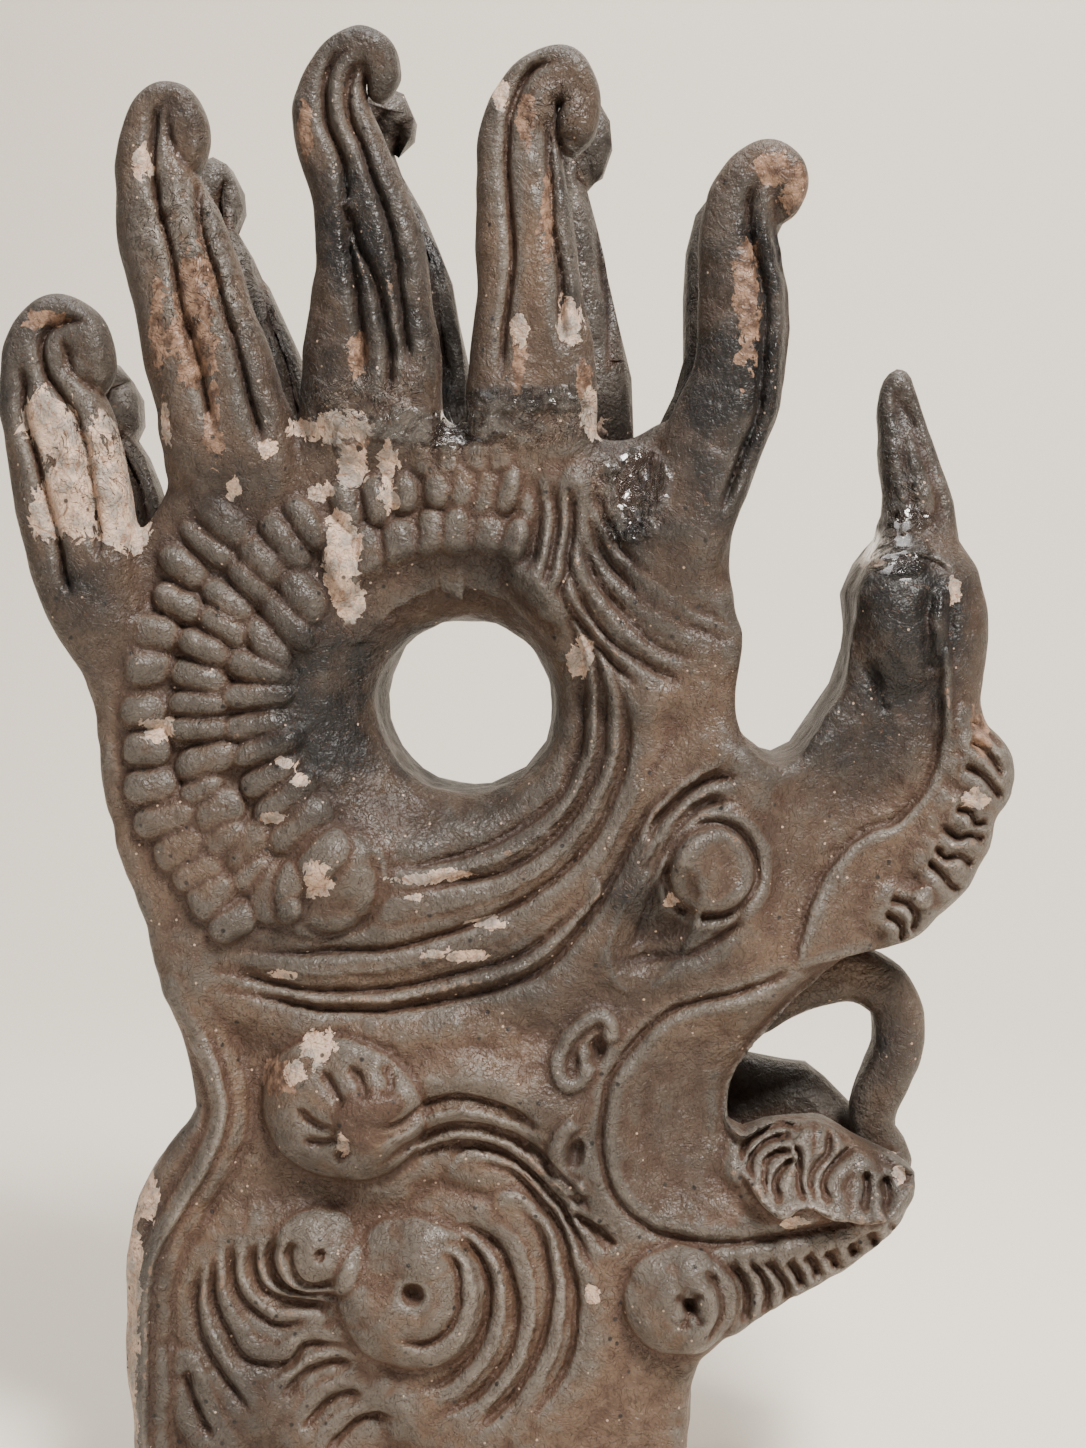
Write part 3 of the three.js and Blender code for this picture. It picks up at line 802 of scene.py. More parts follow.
def carve_shoulder(relief):
    # ear: a boss with dents that run to one point, and a smooth swelling beside it
    relief.boss(-32, 200, 34, 19, stretch=1.12, turn=-15, power=0.6)
    relief.boss(20, 214, 32, 9, stretch=1.9, turn=-10)
    relief.boss(60, 40, 70, 6, stretch=1.6, turn=100)
    relief.boss(-75, 230, 26, -6, stretch=2.4, turn=80, power=1.5)
    relief.boss(-20, 163, 26, -4, stretch=2.2, power=1.5)
    for line in EAR_DENTS:
        relief.crease(line, 6.0, 2.0, start=0.35, stop=0.05)
    # two spirals with a pit in the middle of each
    relief.boss(0, 115, 35, 15, power=0.65)
    relief.boss(-43, 133, 21, 10, power=0.65)
    relief.rolls(SHOULDER_CREASES, 5.2, 16, 1.6, sharp=1.1, roll=5.2, ends=0.2, lap=-2.4)
    relief.rolls(SMALL_SPIRAL_CREASES, 4.6, 13, 1.5, sharp=1.1, roll=4.2, ends=0.2, lap=-2.2)
    relief.boss(1, 117, 6, -8)
    relief.boss(-41, 135, 3.2, -4)
    relief.ridge(BACK_RIDGE, 9, 10, stop=0.02)
    relief.fold(BACK_RIDGE, -5, 30, side=-1, stop=0.02)


# ---- the field ---------------------------------------------------------------------------------

def half_thickness(grid):
    """Half the thickness of the beast over the sheet, before any carving."""
    x = grid.sheet_x
    z = grid.sheet_z
    head = smoothstep(255, 285, z)
    thin_head = 14 * smoothstep(150, 225, x) + 5 * smoothstep(225, 270, x)
    thin_jaw = 8 * smoothstep(150, 230, x)
    half = BODY_HALF - head * thin_head - (1 - head) * thin_jaw
    horn = smoothstep(440, 474, z) * (x > 180)
    half = half * (1 - horn) + horn * (20 - 12 * smoothstep(474, 536, z))
    crown = smoothstep(470, 515, z) * (x < 180)
    return half - 6 * crown


def edge_rounding(grid):
    """How far the faces round over into the outline."""
    x = grid.sheet_x
    z = grid.sheet_z
    rounding = 9 + 9 * smoothstep(180, 230, x) * smoothstep(270, 300, z)
    horn = smoothstep(440, 480, z) * (x > 180)
    return rounding * (1 - horn) + horn * (15 - 9 * smoothstep(480, 536, z))


def rounded_overlap(outside, above, rounding):
    """The space inside both of two fields, with a rounded edge."""
    first = outside + rounding
    second = above + rounding
    corner = np.hypot(np.maximum(first, 0), np.maximum(second, 0))
    return corner + np.minimum(np.maximum(first, second), 0) - rounding


def body_field(grid, reliefs):
    outline = closed_outline(BEAST_OUTLINE, 3)
    outside = outline_distance(grid, outline)
    hole = HOLE_RADIUS - np.hypot(grid.sheet_x - HOLE[0], grid.sheet_z - HOLE[1])
    outside = np.maximum(outside, hole)
    rounding = edge_rounding(grid)
    half = half_thickness(grid)
    field = np.empty(grid.counts, dtype=np.float32)
    lumps = sum(
        amount * value_noise(grid.counts, grid.step, size, seed)
        for size, amount, seed in BODY_LUMPS
    )
    for j, y in enumerate(grid.y):
        relief = reliefs[0] if y < 0 else reliefs[1]
        above = abs(y) - (half + relief.height)
        field[:, j, :] = rounded_overlap(outside + lumps[:, j, :], above, rounding)
    return field


def pocket_field(grid):
    """The space between the two lips."""
    outside = outline_distance(grid, smooth_line(MOUTH_POCKET, 4))
    above = np.abs(grid.y) - POCKET_HALF
    return rounded_overlap(outside[:, None, :], above[None, :, None], POCKET_ROUNDING)


def far_lip_field(grid):
    """The far lower lip, which swells up inside the mouth."""
    outside = outline_distance(grid, smooth_line(FAR_LIP, 4))
    above = np.abs(grid.y - FAR_LIP_AT) - FAR_LIP_HALF
    lip = rounded_overlap(outside[:, None, :], above[None, :, None], FAR_LIP_ROUNDING)
    return lip.astype(np.float32)


def swept_field(grid, stations, y, depth, groove=None):
    """A tapering form along a line, and the block of the grid that it lies in."""
    reach = Reach(grid, stations, 34)
    radius = np.maximum(reach.radius, 1)
    span = np.maximum(reach.gap + radius, 0)
    deep = depth(reach.along, radius)
    furrow = np.zeros(radius.shape) if groove is None else groove[reach.window]
    rise = np.maximum(np.abs(grid.y[None, :, None] - y) + furrow[:, None, :], 0)
    ratio = (radius / deep)[:, None, :]
    power = 3.0
    field = (span[:, None, :] ** power + (rise * ratio) ** power) ** (1 / power)
    field = (field - radius[:, None, :]) * np.minimum(1, 1 / ratio)
    block = (reach.window[0], slice(None), reach.window[1])
    return block, field.astype(np.float32)


def flame_depth(along, radius):
    """Half the depth of a flame: none at its root, most above it, and less at the curl."""
    grows = 3 + (FLAME_DEPTH - 3) * smoothstep(0, 0.32, along)
    return np.minimum(grows * (1 - 0.3 * smoothstep(0.4, 1, along)), 1.6 * radius)


def tongue_depth(along, radius):
    """Half the depth of the tongue: a little thicker across the beast than along it."""
    return 1.15 * radius


def flame_fields(grid):
    for flame in FLAMES:
        line = np.array(flame["line"], dtype=float)
        below = 1.9 * line[0] - 0.9 * line[1]
        line = np.vstack([(below[0], below[1], 0.9 * line[0, 2]), line])
        root, tip, up = flame["far"]
        share = np.linspace(0, 1, len(line))
        far_line = line.copy()
        far_line[:, 0] += root + (tip - root) * share
        far_line[:, 1] += up
        for y, stations, dx, dz in ((-FLAME_ROW, line, 0, 0), (FLAME_ROW, far_line, root, up)):
            furrows = Relief(grid, True)
            flutes = [np.array(flute) + (dx, dz) for flute in flame["flutes"]]
            furrows.rolls(flutes, 4.2, 22, 3.6, sharp=1.1, roll=2.3, ends=0.1, lap=2.2)
            roughen(furrows, FLAME_LUMPS, FLAME_MEND_SEED)
            yield swept_field(grid, stations, y, flame_depth, FLUTE_SINK - furrows.height)


def beast_field(grid):
    near = Relief(grid, True)
    far = Relief(grid, False)
    carve_face(near)
    carve_face(far)
    field = body_field(grid, (near, far))
    field = -smooth_min(-field, pocket_field(grid), POCKET_FILLET)
    field = smooth_min(field, far_lip_field(grid), FAR_LIP_FILLET)
    for block, flame in flame_fields(grid):
        field[block] = smooth_min(field[block], flame, FLAME_FILLET)
    block, tongue = swept_field(grid, TONGUE, 0, tongue_depth)
    field[block] = smooth_min(field[block], tongue, TONGUE_FILLET)
    base = -grid.z[None, None, :]
    return np.maximum(field, base)


# ---- field to mesh -----------------------------------------------------------------------------

def sample(grid, values, points):
    """Values of a field at points inside the grid, in millimetres."""
    place = (points - grid.low) / grid.step
    index = np.clip(place.astype(int), 0, np.array(grid.counts) - 2)
    t = place - index
    total = 0
    for corner in np.ndindex(2, 2, 2):
        weight = np.prod([t[:, a] if corner[a] else 1 - t[:, a] for a in range(3)], axis=0)
        at = index + corner
        total = total + weight * values[at[:, 0], at[:, 1], at[:, 2]]
    return total


def field_mesh(grid, field, name):
    band = 3 * grid.step
    volume = openvdb.FloatGrid(band)
    volume.copyFromArray(np.clip(field, -band, band))
    points, _, quads = volume.convertToPolygons(isovalue=0.0, adaptivity=0.0)
    quads = quads.astype(np.int32)
    mesh = bpy.data.meshes.new(name)
    mesh.vertices.add(len(points))
    places = (points * grid.step + grid.low) * MM
    mesh.vertices.foreach_set("co", places.astype(np.float32).ravel())
    mesh.loops.add(quads.size)
    mesh.loops.foreach_set("vertex_index", quads.ravel())
    mesh.polygons.add(len(quads))
    mesh.polygons.foreach_set("loop_start", np.arange(0, quads.size, 4, dtype=np.int32))
    mesh.update(calc_edges=True)
    return mesh


def vertex_places(mesh):
    places = np.empty(len(mesh.vertices) * 3, dtype=np.float32)
    mesh.vertices.foreach_get("co", places)
    return places.reshape(-1, 3).astype(float) / MM


def thinned(obj, triangles):
    """Collapses the mesh to the given number of triangles, and keeps more on the near face."""
    places = vertex_places(obj.data)
    group = obj.vertex_groups.new(name="thin")
    loose = np.clip((places[:, 1] + 70) / 110, 0.25, 1)
    for weight in np.linspace(0.25, 1, 6):
        picked = np.nonzero(np.abs(loose - weight) <= 0.0751)[0]
        group.add(picked.tolist(), float(weight), "REPLACE")
    modifier = obj.modifiers.new("thin", "DECIMATE")
    modifier.ratio = min(1.0, triangles / (2 * len(obj.data.polygons)))
    modifier.use_collapse_triangulate = True
    modifier.vertex_group = "thin"
    modifier.vertex_group_factor = 0.3
    bpy.context.view_layer.objects.active = obj
    obj.select_set(True)
    bpy.ops.object.modifier_apply(modifier=modifier.name)
    obj.vertex_groups.clear()


def box_blur(values, reach):
    """Mean over a box of `reach` grid steps each way, along every axis."""
    for axis in range(values.ndim):
        padded = np.pad(values, [(reach + 1, reach) if a == axis else (0, 0)
                                 for a in range(values.ndim)], mode="edge")
        total = np.cumsum(padded, axis=axis, dtype=np.float64)
        size = values.shape[axis]
        upper = np.take(total, np.arange(2 * reach + 1, 2 * reach + 1 + size), axis)
        lower = np.take(total, np.arange(0, size), axis)
        values = ((upper - lower) / (2 * reach + 1)).astype(np.float32)
    return values


def add_attribute(mesh, name, values):
    attribute = mesh.attributes.new(name, "FLOAT", "POINT")
    attribute.data.foreach_set("value", np.asarray(values, dtype=np.float32))


def smooth_normals(grid, field, mesh):
    """Normals taken from the field, so that thinning the mesh doesn't show."""
    places = vertex_places(mesh)
    shift = 0.8 * grid.step
    normals = np.empty_like(places)
    for axis in range(3):
        offset = np.zeros(3)
        offset[axis] = shift
        ahead = sample(grid, field, places + offset)
        normals[:, axis] = ahead - sample(grid, field, places - offset)
    normals /= np.linalg.norm(normals, axis=1)[:, None] + 1e-9
    mesh.polygons.foreach_set("use_smooth", np.ones(len(mesh.polygons), dtype=bool))
    mesh.normals_split_custom_set_from_vertices(normals.tolist())


def paint_masks(grid, field, mesh, places):
    """Where the clay is hollow, raised, chipped, mended or smoked, with painted shade in the
    hollows and inside the hole, and a painted sheen, partly rubbed wear, on the crests.
    """
    fine = box_blur(np.clip(field, -6, 6), max(1, round(2 / grid.step)))
    broad = box_blur(np.clip(field, -14, 14), max(1, round(6 / grid.step)))
    bend = sample(grid, fine, places)
    sweep = sample(grid, broad, places)
    # Hollow: how far the surface lies in a hollow; the colour uses it for the red-brown patina and
    # for painted shade.
    add_attribute(mesh, "hollow", np.clip(0.45 - 0.45 * bend - 0.10 * sweep, 0, 1))
    add_attribute(mesh, "crest", np.clip(0.8 * bend - 0.1, 0, 1))
    x, y, z = places.T
    near = smoothstep(40, 0, y)
    add_attribute(mesh, "pale", near * patches(PALE_CHIPS, x, z))
    add_attribute(mesh, "tan", near * patches(TAN_CHIPS, x, z))
    add_attribute(mesh, "mend", smoothstep(0, 0.7, spots(MENDS, x, z)))
    add_attribute(mesh, "gloss", near * smoothstep(0, 0.5, spots(GLOSSY, x, z)))
    # Painted shade inside the hole: its wall is darkened through the smoke mask.
    bore_shade = smoothstep(HOLE_RADIUS + 9, HOLE_RADIUS - 1, np.hypot(x - HOLE[0], z - HOLE[1]))
    high = 0.17 * smoothstep(180, 290, z) + 0.42 * smoothstep(370, 460, z)
    smoked = np.sqrt(spots(SMOKED, x, z))
    clean = 0.7 * spots(CLEANED, x, z)
    add_attribute(mesh, "smoke_and_shade", np.maximum(np.maximum(high, smoked) * (1 - clean), 0.8 * bore_shade))


# ---- materials ---------------------------------------------------------------------------------

class Net:
    """Adds nodes to one node tree. An input is a number, a colour or another node's socket."""

    def __init__(self, tree):
        self.tree = tree

    def add(self, kind, settings=None, **inputs):
        node = self.tree.nodes.new(kind)
        for name, value in (settings or {}).items():
            setattr(node, name, value)
        for name, value in inputs.items():
            key = int(name[1:]) if name[1:].isdigit() else name.replace("_", " ")
            self.feed(node.inputs[key], value)
        return node

    def feed(self, socket, value):
        if isinstance(value, bpy.types.NodeSocket):
            self.tree.links.new(value, socket)
        elif socket.type == "RGBA":
            socket.default_value = (*value[:3], 1)
        else:
            socket.default_value = value

    def math(self, operation, first, second=0.0, clamp=False):
        settings = {"operation": operation, "use_clamp": clamp}
        node = self.add("ShaderNodeMath", settings, i0=first, i1=second)
        return node.outputs["Value"]

    def times(self, first, second):
        return self.math("MULTIPLY", first, second)

    def plus(self, first, second):
        return self.math("ADD", first, second)

    def minus(self, first, second):
        return self.math("SUBTRACT", first, second)

    def contour(self, value, level):
        """How far the value is from a level: nought along winding lines."""
        return self.math("ABSOLUTE", self.minus(value, level))

    def step(self, value, low, high, start=0.0, stop=1.0):
        """Runs smoothly from `start` to `stop` while the value goes from low to high."""
        node = self.add(
            "ShaderNodeMapRange", {"interpolation_type": "SMOOTHSTEP"},
            Value=value, From_Min=low, From_Max=high, To_Min=start, To_Max=stop,
        )
        return node.outputs["Result"]

    def noise(self, vector, scale, detail=2.0, rough=0.5, distortion=0.0):
        node = self.add(
            "ShaderNodeTexNoise", Vector=vector, Scale=scale, Detail=detail, Roughness=rough,
            Distortion=distortion,
        )
        return node.outputs["Fac"]

    def cells(self, vector, scale):
        node = self.add("ShaderNodeTexVoronoi", Vector=vector, Scale=scale)
        return node.outputs["Distance"], node.outputs["Color"]

    def mix(self, factor, first, second):
        node = self.add("ShaderNodeMix", {"data_type": "RGBA"}, Factor=factor)
        self.feed(node.inputs[6], first)
        self.feed(node.inputs[7], second)
        return node.outputs[2]

    def mask(self, name):
        return self.add("ShaderNodeAttribute", {"attribute_name": name}).outputs["Fac"]


def new_group(name, inputs, outputs):
    """An empty node group, its net, and the sockets that its inputs arrive on."""
    tree = bpy.data.node_groups.new(name, "ShaderNodeTree")
    for title, kind in inputs:
        tree.interface.new_socket(title, in_out="INPUT", socket_type=kind)
    for title, kind in outputs:
        tree.interface.new_socket(title, in_out="OUTPUT", socket_type=kind)
    net = Net(tree)
    start = net.add("NodeGroupInput")
    return tree, net, start.outputs, net.add("NodeGroupOutput").inputs


def clay_marks_group():
    """Scratches, hairlines, pits and specks in the skin of the clay. The pits are dark dots of
    painted shade, with no dip in the height.
    """
    tree, net, given, out = new_group(
        "clay_marks",
        (("Place", "NodeSocketVector"), ("Roughness of hand", "NodeSocketFloat")),
        (
            ("Height", "NodeSocketFloat"), ("Hairs", "NodeSocketFloat"),
            ("Scuffs", "NodeSocketFloat"), ("Pits", "NodeSocketFloat"),
            ("Specks", "NodeSocketFloat"),
        ),
    )
    place = given["Place"]
    hand = given["Roughness of hand"]
    curls = net.contour(net.noise(place, 95, 1.0, 0.5, 3.2), 0.5)
    fine = net.contour(net.noise(place, 210, 1.0, 0.5, 2.0), 0.5)
    broken = net.step(net.noise(place, 60, 0.0), 0.44, 0.54)
    hairs = net.math(
        "MAXIMUM", net.times(net.step(curls, 0.021, 0.0), broken),
        net.times(net.step(fine, 0.026, 0.0), net.minus(1.0, broken)),
    )
    scuffs = net.contour(net.noise(place, 120, 2.0, 0.5, 4.5), 0.47)
    bare = net.step(net.plus(net.noise(place, 75, 1.0), net.times(hand, 0.12)), 0.52, 0.6)
    scuffs = net.times(net.step(scuffs, 0.02, 0.0), bare)
    smear = net.step(net.noise(place, 70, 2.0, 0.55, 4.0), 0.47, 0.53)
    distance, tint = net.cells(place, 120)
    chosen = net.step(tint, 0.52, 0.56)
    pits = net.times(net.step(distance, 0.17, 0.09), chosen)
    distance, tint = net.cells(place, 170)
    chosen = net.step(tint, 0.63, 0.66)
    specks = net.times(net.step(distance, 0.13, 0.07), chosen)
    lumps = net.times(net.noise(place, 110, 3.0, 0.6), 0.0026)
    grain = net.times(net.noise(place, 650, 1.0, 0.6), 0.0004)
    height = net.plus(lumps, grain)
    height = net.plus(height, net.times(net.times(smear, net.plus(hand, 0.12)), 0.0018))
    height = net.plus(height, net.times(hairs, -0.00034))
    net.feed(out["Height"], height)
    net.feed(out["Hairs"], hairs)
    net.feed(out["Scuffs"], scuffs)
    net.feed(out["Pits"], pits)
    net.feed(out["Specks"], specks)
    return tree


def ragged_patch_group():
    """A patch with a torn edge: crisp, and broken up by fibres."""
    tree, net, given, out = new_group(
        "ragged_patch",
        (
            ("Place", "NodeSocketVector"), ("Reach", "NodeSocketFloat"),
            ("Edge", "NodeSocketFloat"),
        ),
        (("Patch", "NodeSocketFloat"), ("Rim", "NodeSocketFloat")),
    )
    place = given["Place"]
    tears = net.noise(place, 130, 3.0, 0.62, 1.2)
    broad = net.noise(place, 45, 1.0, 0.5)
    torn = net.plus(net.times(tears, 1.5), broad)
    level = net.minus(net.plus(given["Reach"], torn), given["Edge"])
    present = net.step(given["Reach"], 0.0, 0.06)
    net.feed(out["Patch"], net.times(net.step(level, 0.0, 0.05), present))
    rim = net.times(net.step(level, -0.07, 0.0), net.step(level, 0.06, 0.0))
    net.feed(out["Rim"], net.times(rim, present))
    return tree


def clay_material(colours):
    material = bpy.data.materials.new("fired_clay")
    material.use_nodes = True
    net = Net(material.node_tree)
    shader = material.node_tree.nodes["Principled BSDF"]
    place = net.add("ShaderNodeTexCoord").outputs["Object"]
    hollow = net.mask("hollow")
    crest = net.mask("crest")
    marks = net.add("ShaderNodeGroup", {"node_tree": clay_marks_group()})
    net.feed(marks.inputs["Place"], place)
    net.feed(marks.inputs["Roughness of hand"], net.mask("mend"))
    torn = ragged_patch_group()
    pale = net.add("ShaderNodeGroup", {"node_tree": torn}, Place=place, Reach=net.mask("pale"),
                   Edge=1.50)
    tan = net.add("ShaderNodeGroup", {"node_tree": torn}, Place=place, Reach=net.mask("tan"),
                  Edge=1.62)
    rubbed = net.add("ShaderNodeGroup", {"node_tree": torn}, Place=place,
                     Reach=net.times(crest, 0.6), Edge=1.95)

    broad = net.noise(place, 9, 3.0, 0.6, 0.4)
    warm = net.plus(broad, net.times(net.noise(place, 45, 3.0, 0.6), 0.35))
    warm = net.plus(warm, net.times(net.minus(hollow, 0.45), 0.9))
    warm = net.step(warm, 0.42, 0.72)
    colour = net.mix(warm, colours.crest, colours.warm)
    deep = net.plus(hollow, net.times(net.minus(net.noise(place, 120, 3.0), 0.5), 0.5))
    # Painted sheen: the crests turn paler and greyer, partly clay rubbed pale and partly a painted
    # highlight.
    colour = net.mix(net.times(crest, 0.7), colour, colours.worn_crest_and_sheen)
    # Painted shade: the hollows take the darker red-brown, partly the clay's patina and partly
    # shade painted into creases and recesses.
    colour = net.mix(net.step(deep, 0.31, 0.68), colour, colours.recess_patina_and_shade)
    # Painted shade: the deepest creases and hollows go almost black.
    colour = net.mix(net.step(deep, 0.95, 1.9), colour, colours.smoke_and_shade)
    clouds = net.minus(net.noise(place, 26, 4.0, 0.65), 0.5)
    cloudy = net.plus(1.02, net.times(clouds, 2.4))
    # The smoke mask: smoke darkening, with painted shade inside the hole as well.
    smoke_and_shade = net.math("MULTIPLY", net.mask("smoke_and_shade"), cloudy, clamp=True)
    colour = net.mix(smoke_and_shade, colour, colours.smoke_and_shade)
    colour = net.mix(net.times(marks.outputs["Hairs"], 0.75), colour, colours.recess_patina_and_shade)
    scuffed = net.plus(0.35, net.times(net.mask("mend"), 0.6))
    scuffed = net.minus(scuffed, net.times(smoke_and_shade, 0.2))
    colour = net.mix(net.times(marks.outputs["Scuffs"], scuffed), colour, colours.dust)
    colour = net.mix(net.times(rubbed.outputs["Patch"], 0.5), colour, colours.worn)
    tone = net.step(net.noise(place, 160, 3.0, 0.6), 0.35, 0.65)
    colour = net.mix(tan.outputs["Patch"], colour, net.mix(tone, colours.worn, colours.recess_patina_and_shade))
    tone = net.step(net.noise(place, 110, 3.0, 0.6), 0.42, 0.6)
    bared = net.mix(tone, colours.chip, colours.dust)
    fibres = net.step(net.noise(place, 60, 4.0, 0.7, 6.0), 0.5, 0.66)
    bared = net.mix(fibres, bared, colours.worn)
    colour = net.mix(pale.outputs["Patch"], colour, bared)
    rims = net.math("MAXIMUM", pale.outputs["Rim"], net.times(tan.outputs["Rim"], 0.6))
    colour = net.mix(net.times(rims, 0.55), colour, colours.smoke_and_shade)
    # Painted shade: the pits are only dark dots, with no dip in the bump.
    colour = net.mix(net.times(marks.outputs["Pits"], 0.85), colour, colours.smoke_and_shade)
    colour = net.mix(net.times(marks.outputs["Specks"], 0.8), colour, colours.chip)
    gloss = net.mask("gloss")
    colour = net.mix(net.times(gloss, 0.4), colour, colours.smoke_and_shade)
    net.feed(shader.inputs["Base Color"], colour)

    wet = net.times(gloss, net.step(net.noise(place, 70, 2.0, 0.6, 1.0), 0.34, 0.48))
    rough = net.step(net.noise(place, 60, 3.0, 0.6), 0.2, 0.8, 0.33, 0.52)
    rough = net.plus(rough, net.times(deep, 0.16))
    rough = net.plus(rough, net.times(pale.outputs["Patch"], 0.15))
    rough = net.math("SUBTRACT", rough, net.times(wet, 0.5), clamp=True)
    net.feed(shader.inputs["Roughness"], rough)
    shader.inputs["Specular IOR Level"].default_value = 0.38
    net.feed(shader.inputs["Coat Weight"], wet)
    shader.inputs["Coat Roughness"].default_value = 0.08

    height = marks.outputs["Height"]
    runs = net.times(net.noise(place, 120, 1.0, 0.5, 1.0), 0.006)
    height = net.plus(height, net.times(runs, gloss))
    bump = net.add("ShaderNodeBump", Strength=1.0, Distance=1.0, Height=height)
    net.feed(shader.inputs["Normal"], bump.outputs["Normal"])
    return material


def backdrop_material(colour):
    material = bpy.data.materials.new("paper_backdrop")
    material.use_nodes = True
    net = Net(material.node_tree)
    shader = material.node_tree.nodes["Principled BSDF"]
    place = net.add("ShaderNodeTexCoord").outputs["Object"]
    darker = tuple(0.93 * part for part in colour)
    tone = net.noise(place, 1.5, 2.0)
    net.feed(shader.inputs["Base Color"], net.mix(tone, darker, tuple(colour)))
    shader.inputs["Roughness"].default_value = 0.9
    grain = net.times(net.noise(place, 400, 2.0), 0.0003)
    bump = net.add("ShaderNodeBump", Strength=1.0, Distance=1.0, Height=grain)
    net.feed(shader.inputs["Normal"], bump.outputs["Normal"])
    return material


# ---- settings ----------------------------------------------------------------------------------

class BeastSizes(bpy.types.PropertyGroup):
    step: FloatProperty(
        name="Grain of the sculpt", description="Spacing of the grid that the clay is sculpted on",
        default=0.00125, min=0.0008, unit="LENGTH", subtype="DISTANCE",
    )
    triangles: IntProperty(
        name="Triangles", description="Triangles that the finished mesh is thinned to",
        default=196000, min=10000,
    )


def colour_property(name, description, default):
    return FloatVectorProperty(
        name=name, description=description, subtype="COLOR", default=default, min=0, max=1,
    )


class BeastColours(bpy.types.PropertyGroup):
    crest: colour_property("Crests", "Grey clay on the raised parts", (0.089, 0.072, 0.058))
    # Crest colour: partly clay rubbed pale, partly a painted sheen in place of the crests'
    # highlight.
    worn_crest_and_sheen: colour_property("Handled crests", "Clay rubbed smooth and pale", (0.232, 0.200, 0.170))
    warm: colour_property("Warm clay", "Browner clay here and there", (0.118, 0.076, 0.050))
    # Recess colour: the red-brown patina of the hollows, made darker as painted shade.
    recess_patina_and_shade: colour_property("Recesses", "Red-brown clay in the hollows", (0.070, 0.038, 0.024))
    # Near-black for smoke, dark marks and glossy mends, and for painted shade in the deepest
    # creases and inside the hole.
    smoke_and_shade: colour_property("Smoke", "Clay darkened by smoke", (0.008, 0.007, 0.0065))
    dust: colour_property("Dust", "Pale dust in the scratches", (0.28, 0.235, 0.20))
    worn: colour_property("Worn clay", "Clay rubbed through to the body", (0.24, 0.145, 0.095))
    chip: colour_property("Chips", "Pale body where the skin has gone", (0.50, 0.355, 0.265))
    backdrop: colour_property("Backdrop", "Paper under and behind the beast", (0.87, 0.80, 0.70))


# ---- operators ---------------------------------------------------------------------------------

class SCENE_OT_ridge_beast(bpy.types.Operator):
    """Sculpts the beast as one piece of fired clay"""

    bl_idname = "ridge_beast.sculpt"
    bl_label = "Sculpt the beast"

    def execute(self, context):
        sizes = context.scene.ridge_beast_sizes
        colours = context.scene.ridge_beast_colours
        step = sizes.step / MM
        grid = Grid(step)
        field = beast_field(grid)
        mesh = field_mesh(grid, field, "beast_clay")
        beast = bpy.data.objects.new("beast_clay", mesh)
        context.scene.collection.objects.link(beast)
        thinned(beast, sizes.triangles)
        mesh = beast.data
        places = vertex_places(mesh)
        paint_masks(grid, field, mesh, places)
        smooth_normals(grid, field, mesh)
        mesh.materials.append(clay_material(colours))
        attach(beast, "root")
        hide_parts(NODE)
        return {"FINISHED"}


class SCENE_OT_ridge_beast_studio(bpy.types.Operator):
    """Sets the backdrop, the lights and the camera"""

    bl_idname = "ridge_beast.studio"
    bl_label = "Set the studio"

    def execute(self, context):
        colours = context.scene.ridge_beast_colours
        backdrop = backdrop_sweep()
        backdrop.data.materials.append(backdrop_material(colours.backdrop))
        studio_lights()
        place_camera()
        return {"FINISHED"}


def backdrop_sweep():
    """Paper that runs under the beast and curves up behind it."""
    profile = [(PAPER_FRONT, 0.0), (PAPER_BEND, 0.0)]
    for k in range(1, PAPER_STEPS + 1):
        angle = math.radians(90 * k / PAPER_STEPS)
        y = PAPER_BEND + PAPER_RADIUS * math.sin(angle)
        profile.append((y, PAPER_RADIUS * (1 - math.cos(angle))))
    profile.append((PAPER_BEND + PAPER_RADIUS, PAPER_TOP))
    vertices = []
    for y, z in profile:
        vertices += [(-PAPER_HALF_WIDTH, y, z), (PAPER_HALF_WIDTH, y, z)]
    faces = [(2 * i, 2 * i + 1, 2 * i + 3, 2 * i + 2) for i in range(len(profile) - 1)]
    mesh = bpy.data.meshes.new("backdrop")
    mesh.from_pydata(vertices, [], faces)
    mesh.polygons.foreach_set("use_smooth", [True] * len(mesh.polygons))
    backdrop = bpy.data.objects.new("backdrop", mesh)
    bpy.context.scene.collection.objects.link(backdrop)
    return backdrop


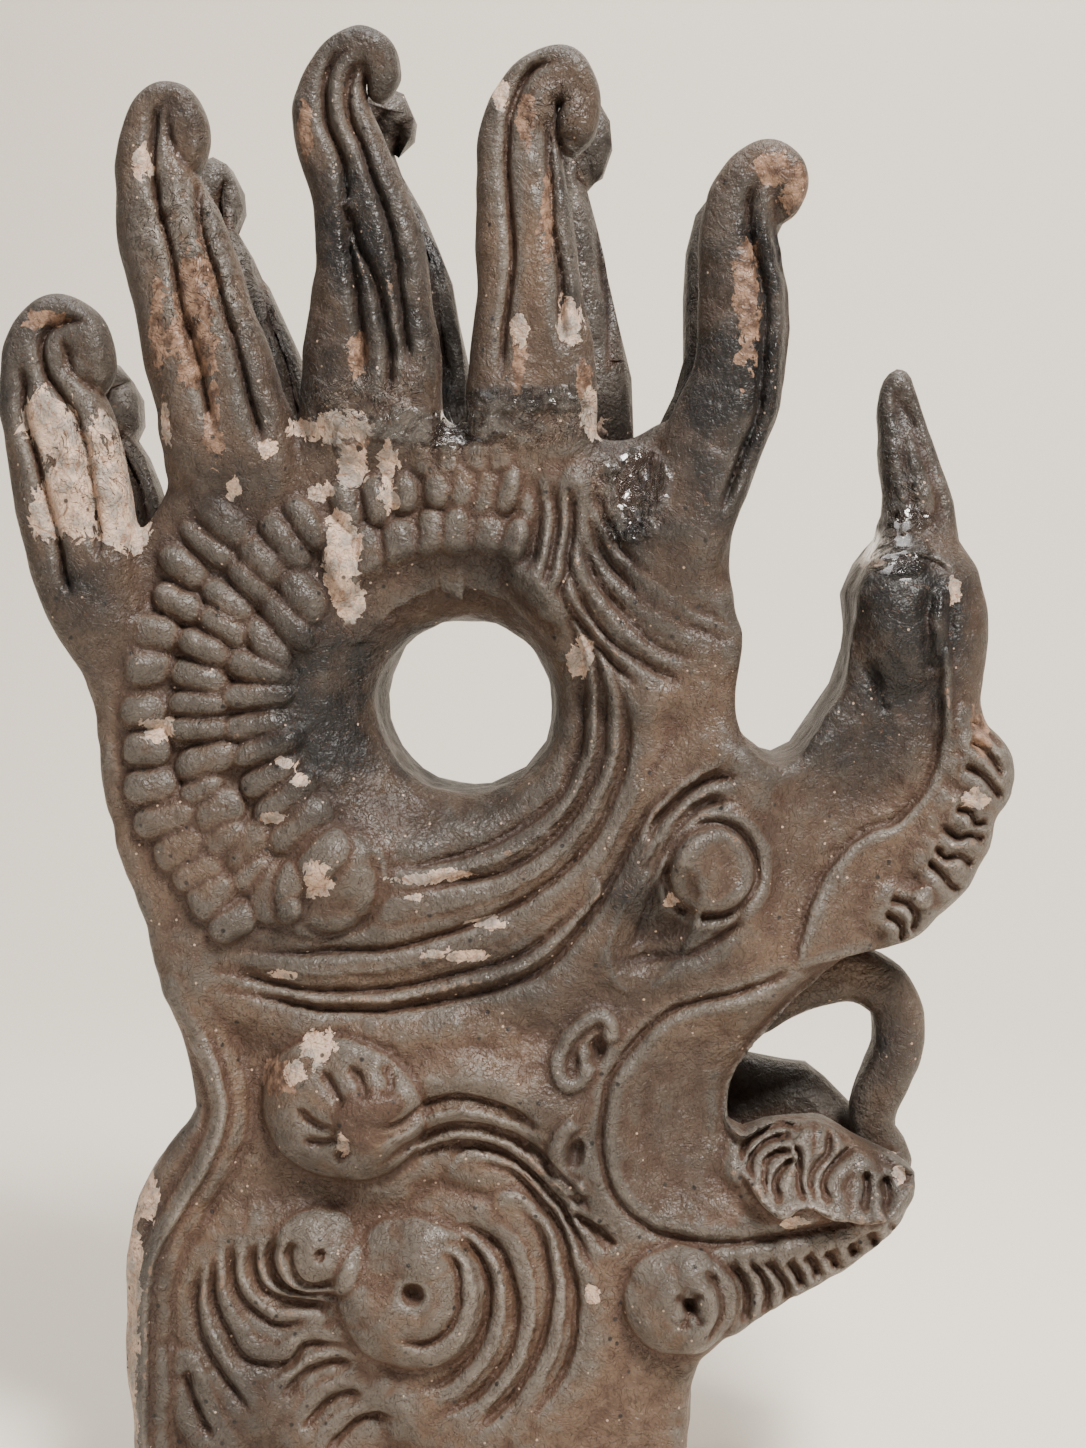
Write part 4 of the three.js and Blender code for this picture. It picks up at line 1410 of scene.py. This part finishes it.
def area_light(name, place, target, size, power, colour):
    data = bpy.data.lights.new(name, "AREA")
    data.shape = "RECTANGLE"
    data.size, data.size_y = size
    data.energy = power
    data.color = colour
    light = bpy.data.objects.new(name, data)
    light.location = place
    aim = np.array(target) - np.array(place)
    light.rotation_euler = (
        math.atan2(np.hypot(aim[0], aim[1]), -aim[2]), 0, math.atan2(-aim[0], aim[1]),
    )
    bpy.context.scene.collection.objects.link(light)


def studio_lights():
    for light in LIGHTS:
        area_light(*light)
    world = bpy.context.scene.world or bpy.data.worlds.new("studio")
    bpy.context.scene.world = world
    world.use_nodes = True
    background = world.node_tree.nodes["Background"]
    background.inputs["Color"].default_value = (*ROOM_COLOUR, 1)
    background.inputs["Strength"].default_value = ROOM_STRENGTH


def place_camera():
    data = bpy.data.cameras.new("camera")
    data.lens = LENS
    data.sensor_width = SENSOR_WIDTH
    camera = bpy.data.objects.new("camera", data)
    camera.location = CAMERA_PLACE
    camera.rotation_euler = (math.radians(90 - CAMERA_DIP), 0, math.radians(CAMERA_TURN))
    bpy.context.scene.collection.objects.link(camera)
    bpy.context.scene.camera = camera


class VIEW3D_PT_ridge_beast(bpy.types.Panel):
    """Shows the sizes, the colours and the buttons that sculpt the beast and set the studio"""

    bl_label = "Ridge beast"
    bl_idname = "VIEW3D_PT_ridge_beast"
    bl_space_type = "VIEW_3D"
    bl_region_type = "UI"
    bl_category = "Ridge beast"

    def draw(self, context):
        for name in ("step", "triangles"):
            self.layout.prop(context.scene.ridge_beast_sizes, name)
        for name in BeastColours.__annotations__:
            self.layout.prop(context.scene.ridge_beast_colours, name)
        for operator in OPERATORS:
            self.layout.operator(operator.bl_idname)


OPERATORS = (SCENE_OT_ridge_beast, SCENE_OT_ridge_beast_studio)
CLASSES = (BeastSizes, BeastColours, *OPERATORS, VIEW3D_PT_ridge_beast)


def register():
    for item in CLASSES:
        bpy.utils.register_class(item)
    bpy.types.Scene.ridge_beast_sizes = PointerProperty(type=BeastSizes)
    bpy.types.Scene.ridge_beast_colours = PointerProperty(type=BeastColours)


def unregister():
    del bpy.types.Scene.ridge_beast_colours
    del bpy.types.Scene.ridge_beast_sizes
    for item in reversed(CLASSES):
        bpy.utils.unregister_class(item)


def main():
    register()
    bpy.ops.ridge_beast.sculpt()
    bpy.ops.ridge_beast.studio()


if __name__ == "__main__":
    main()
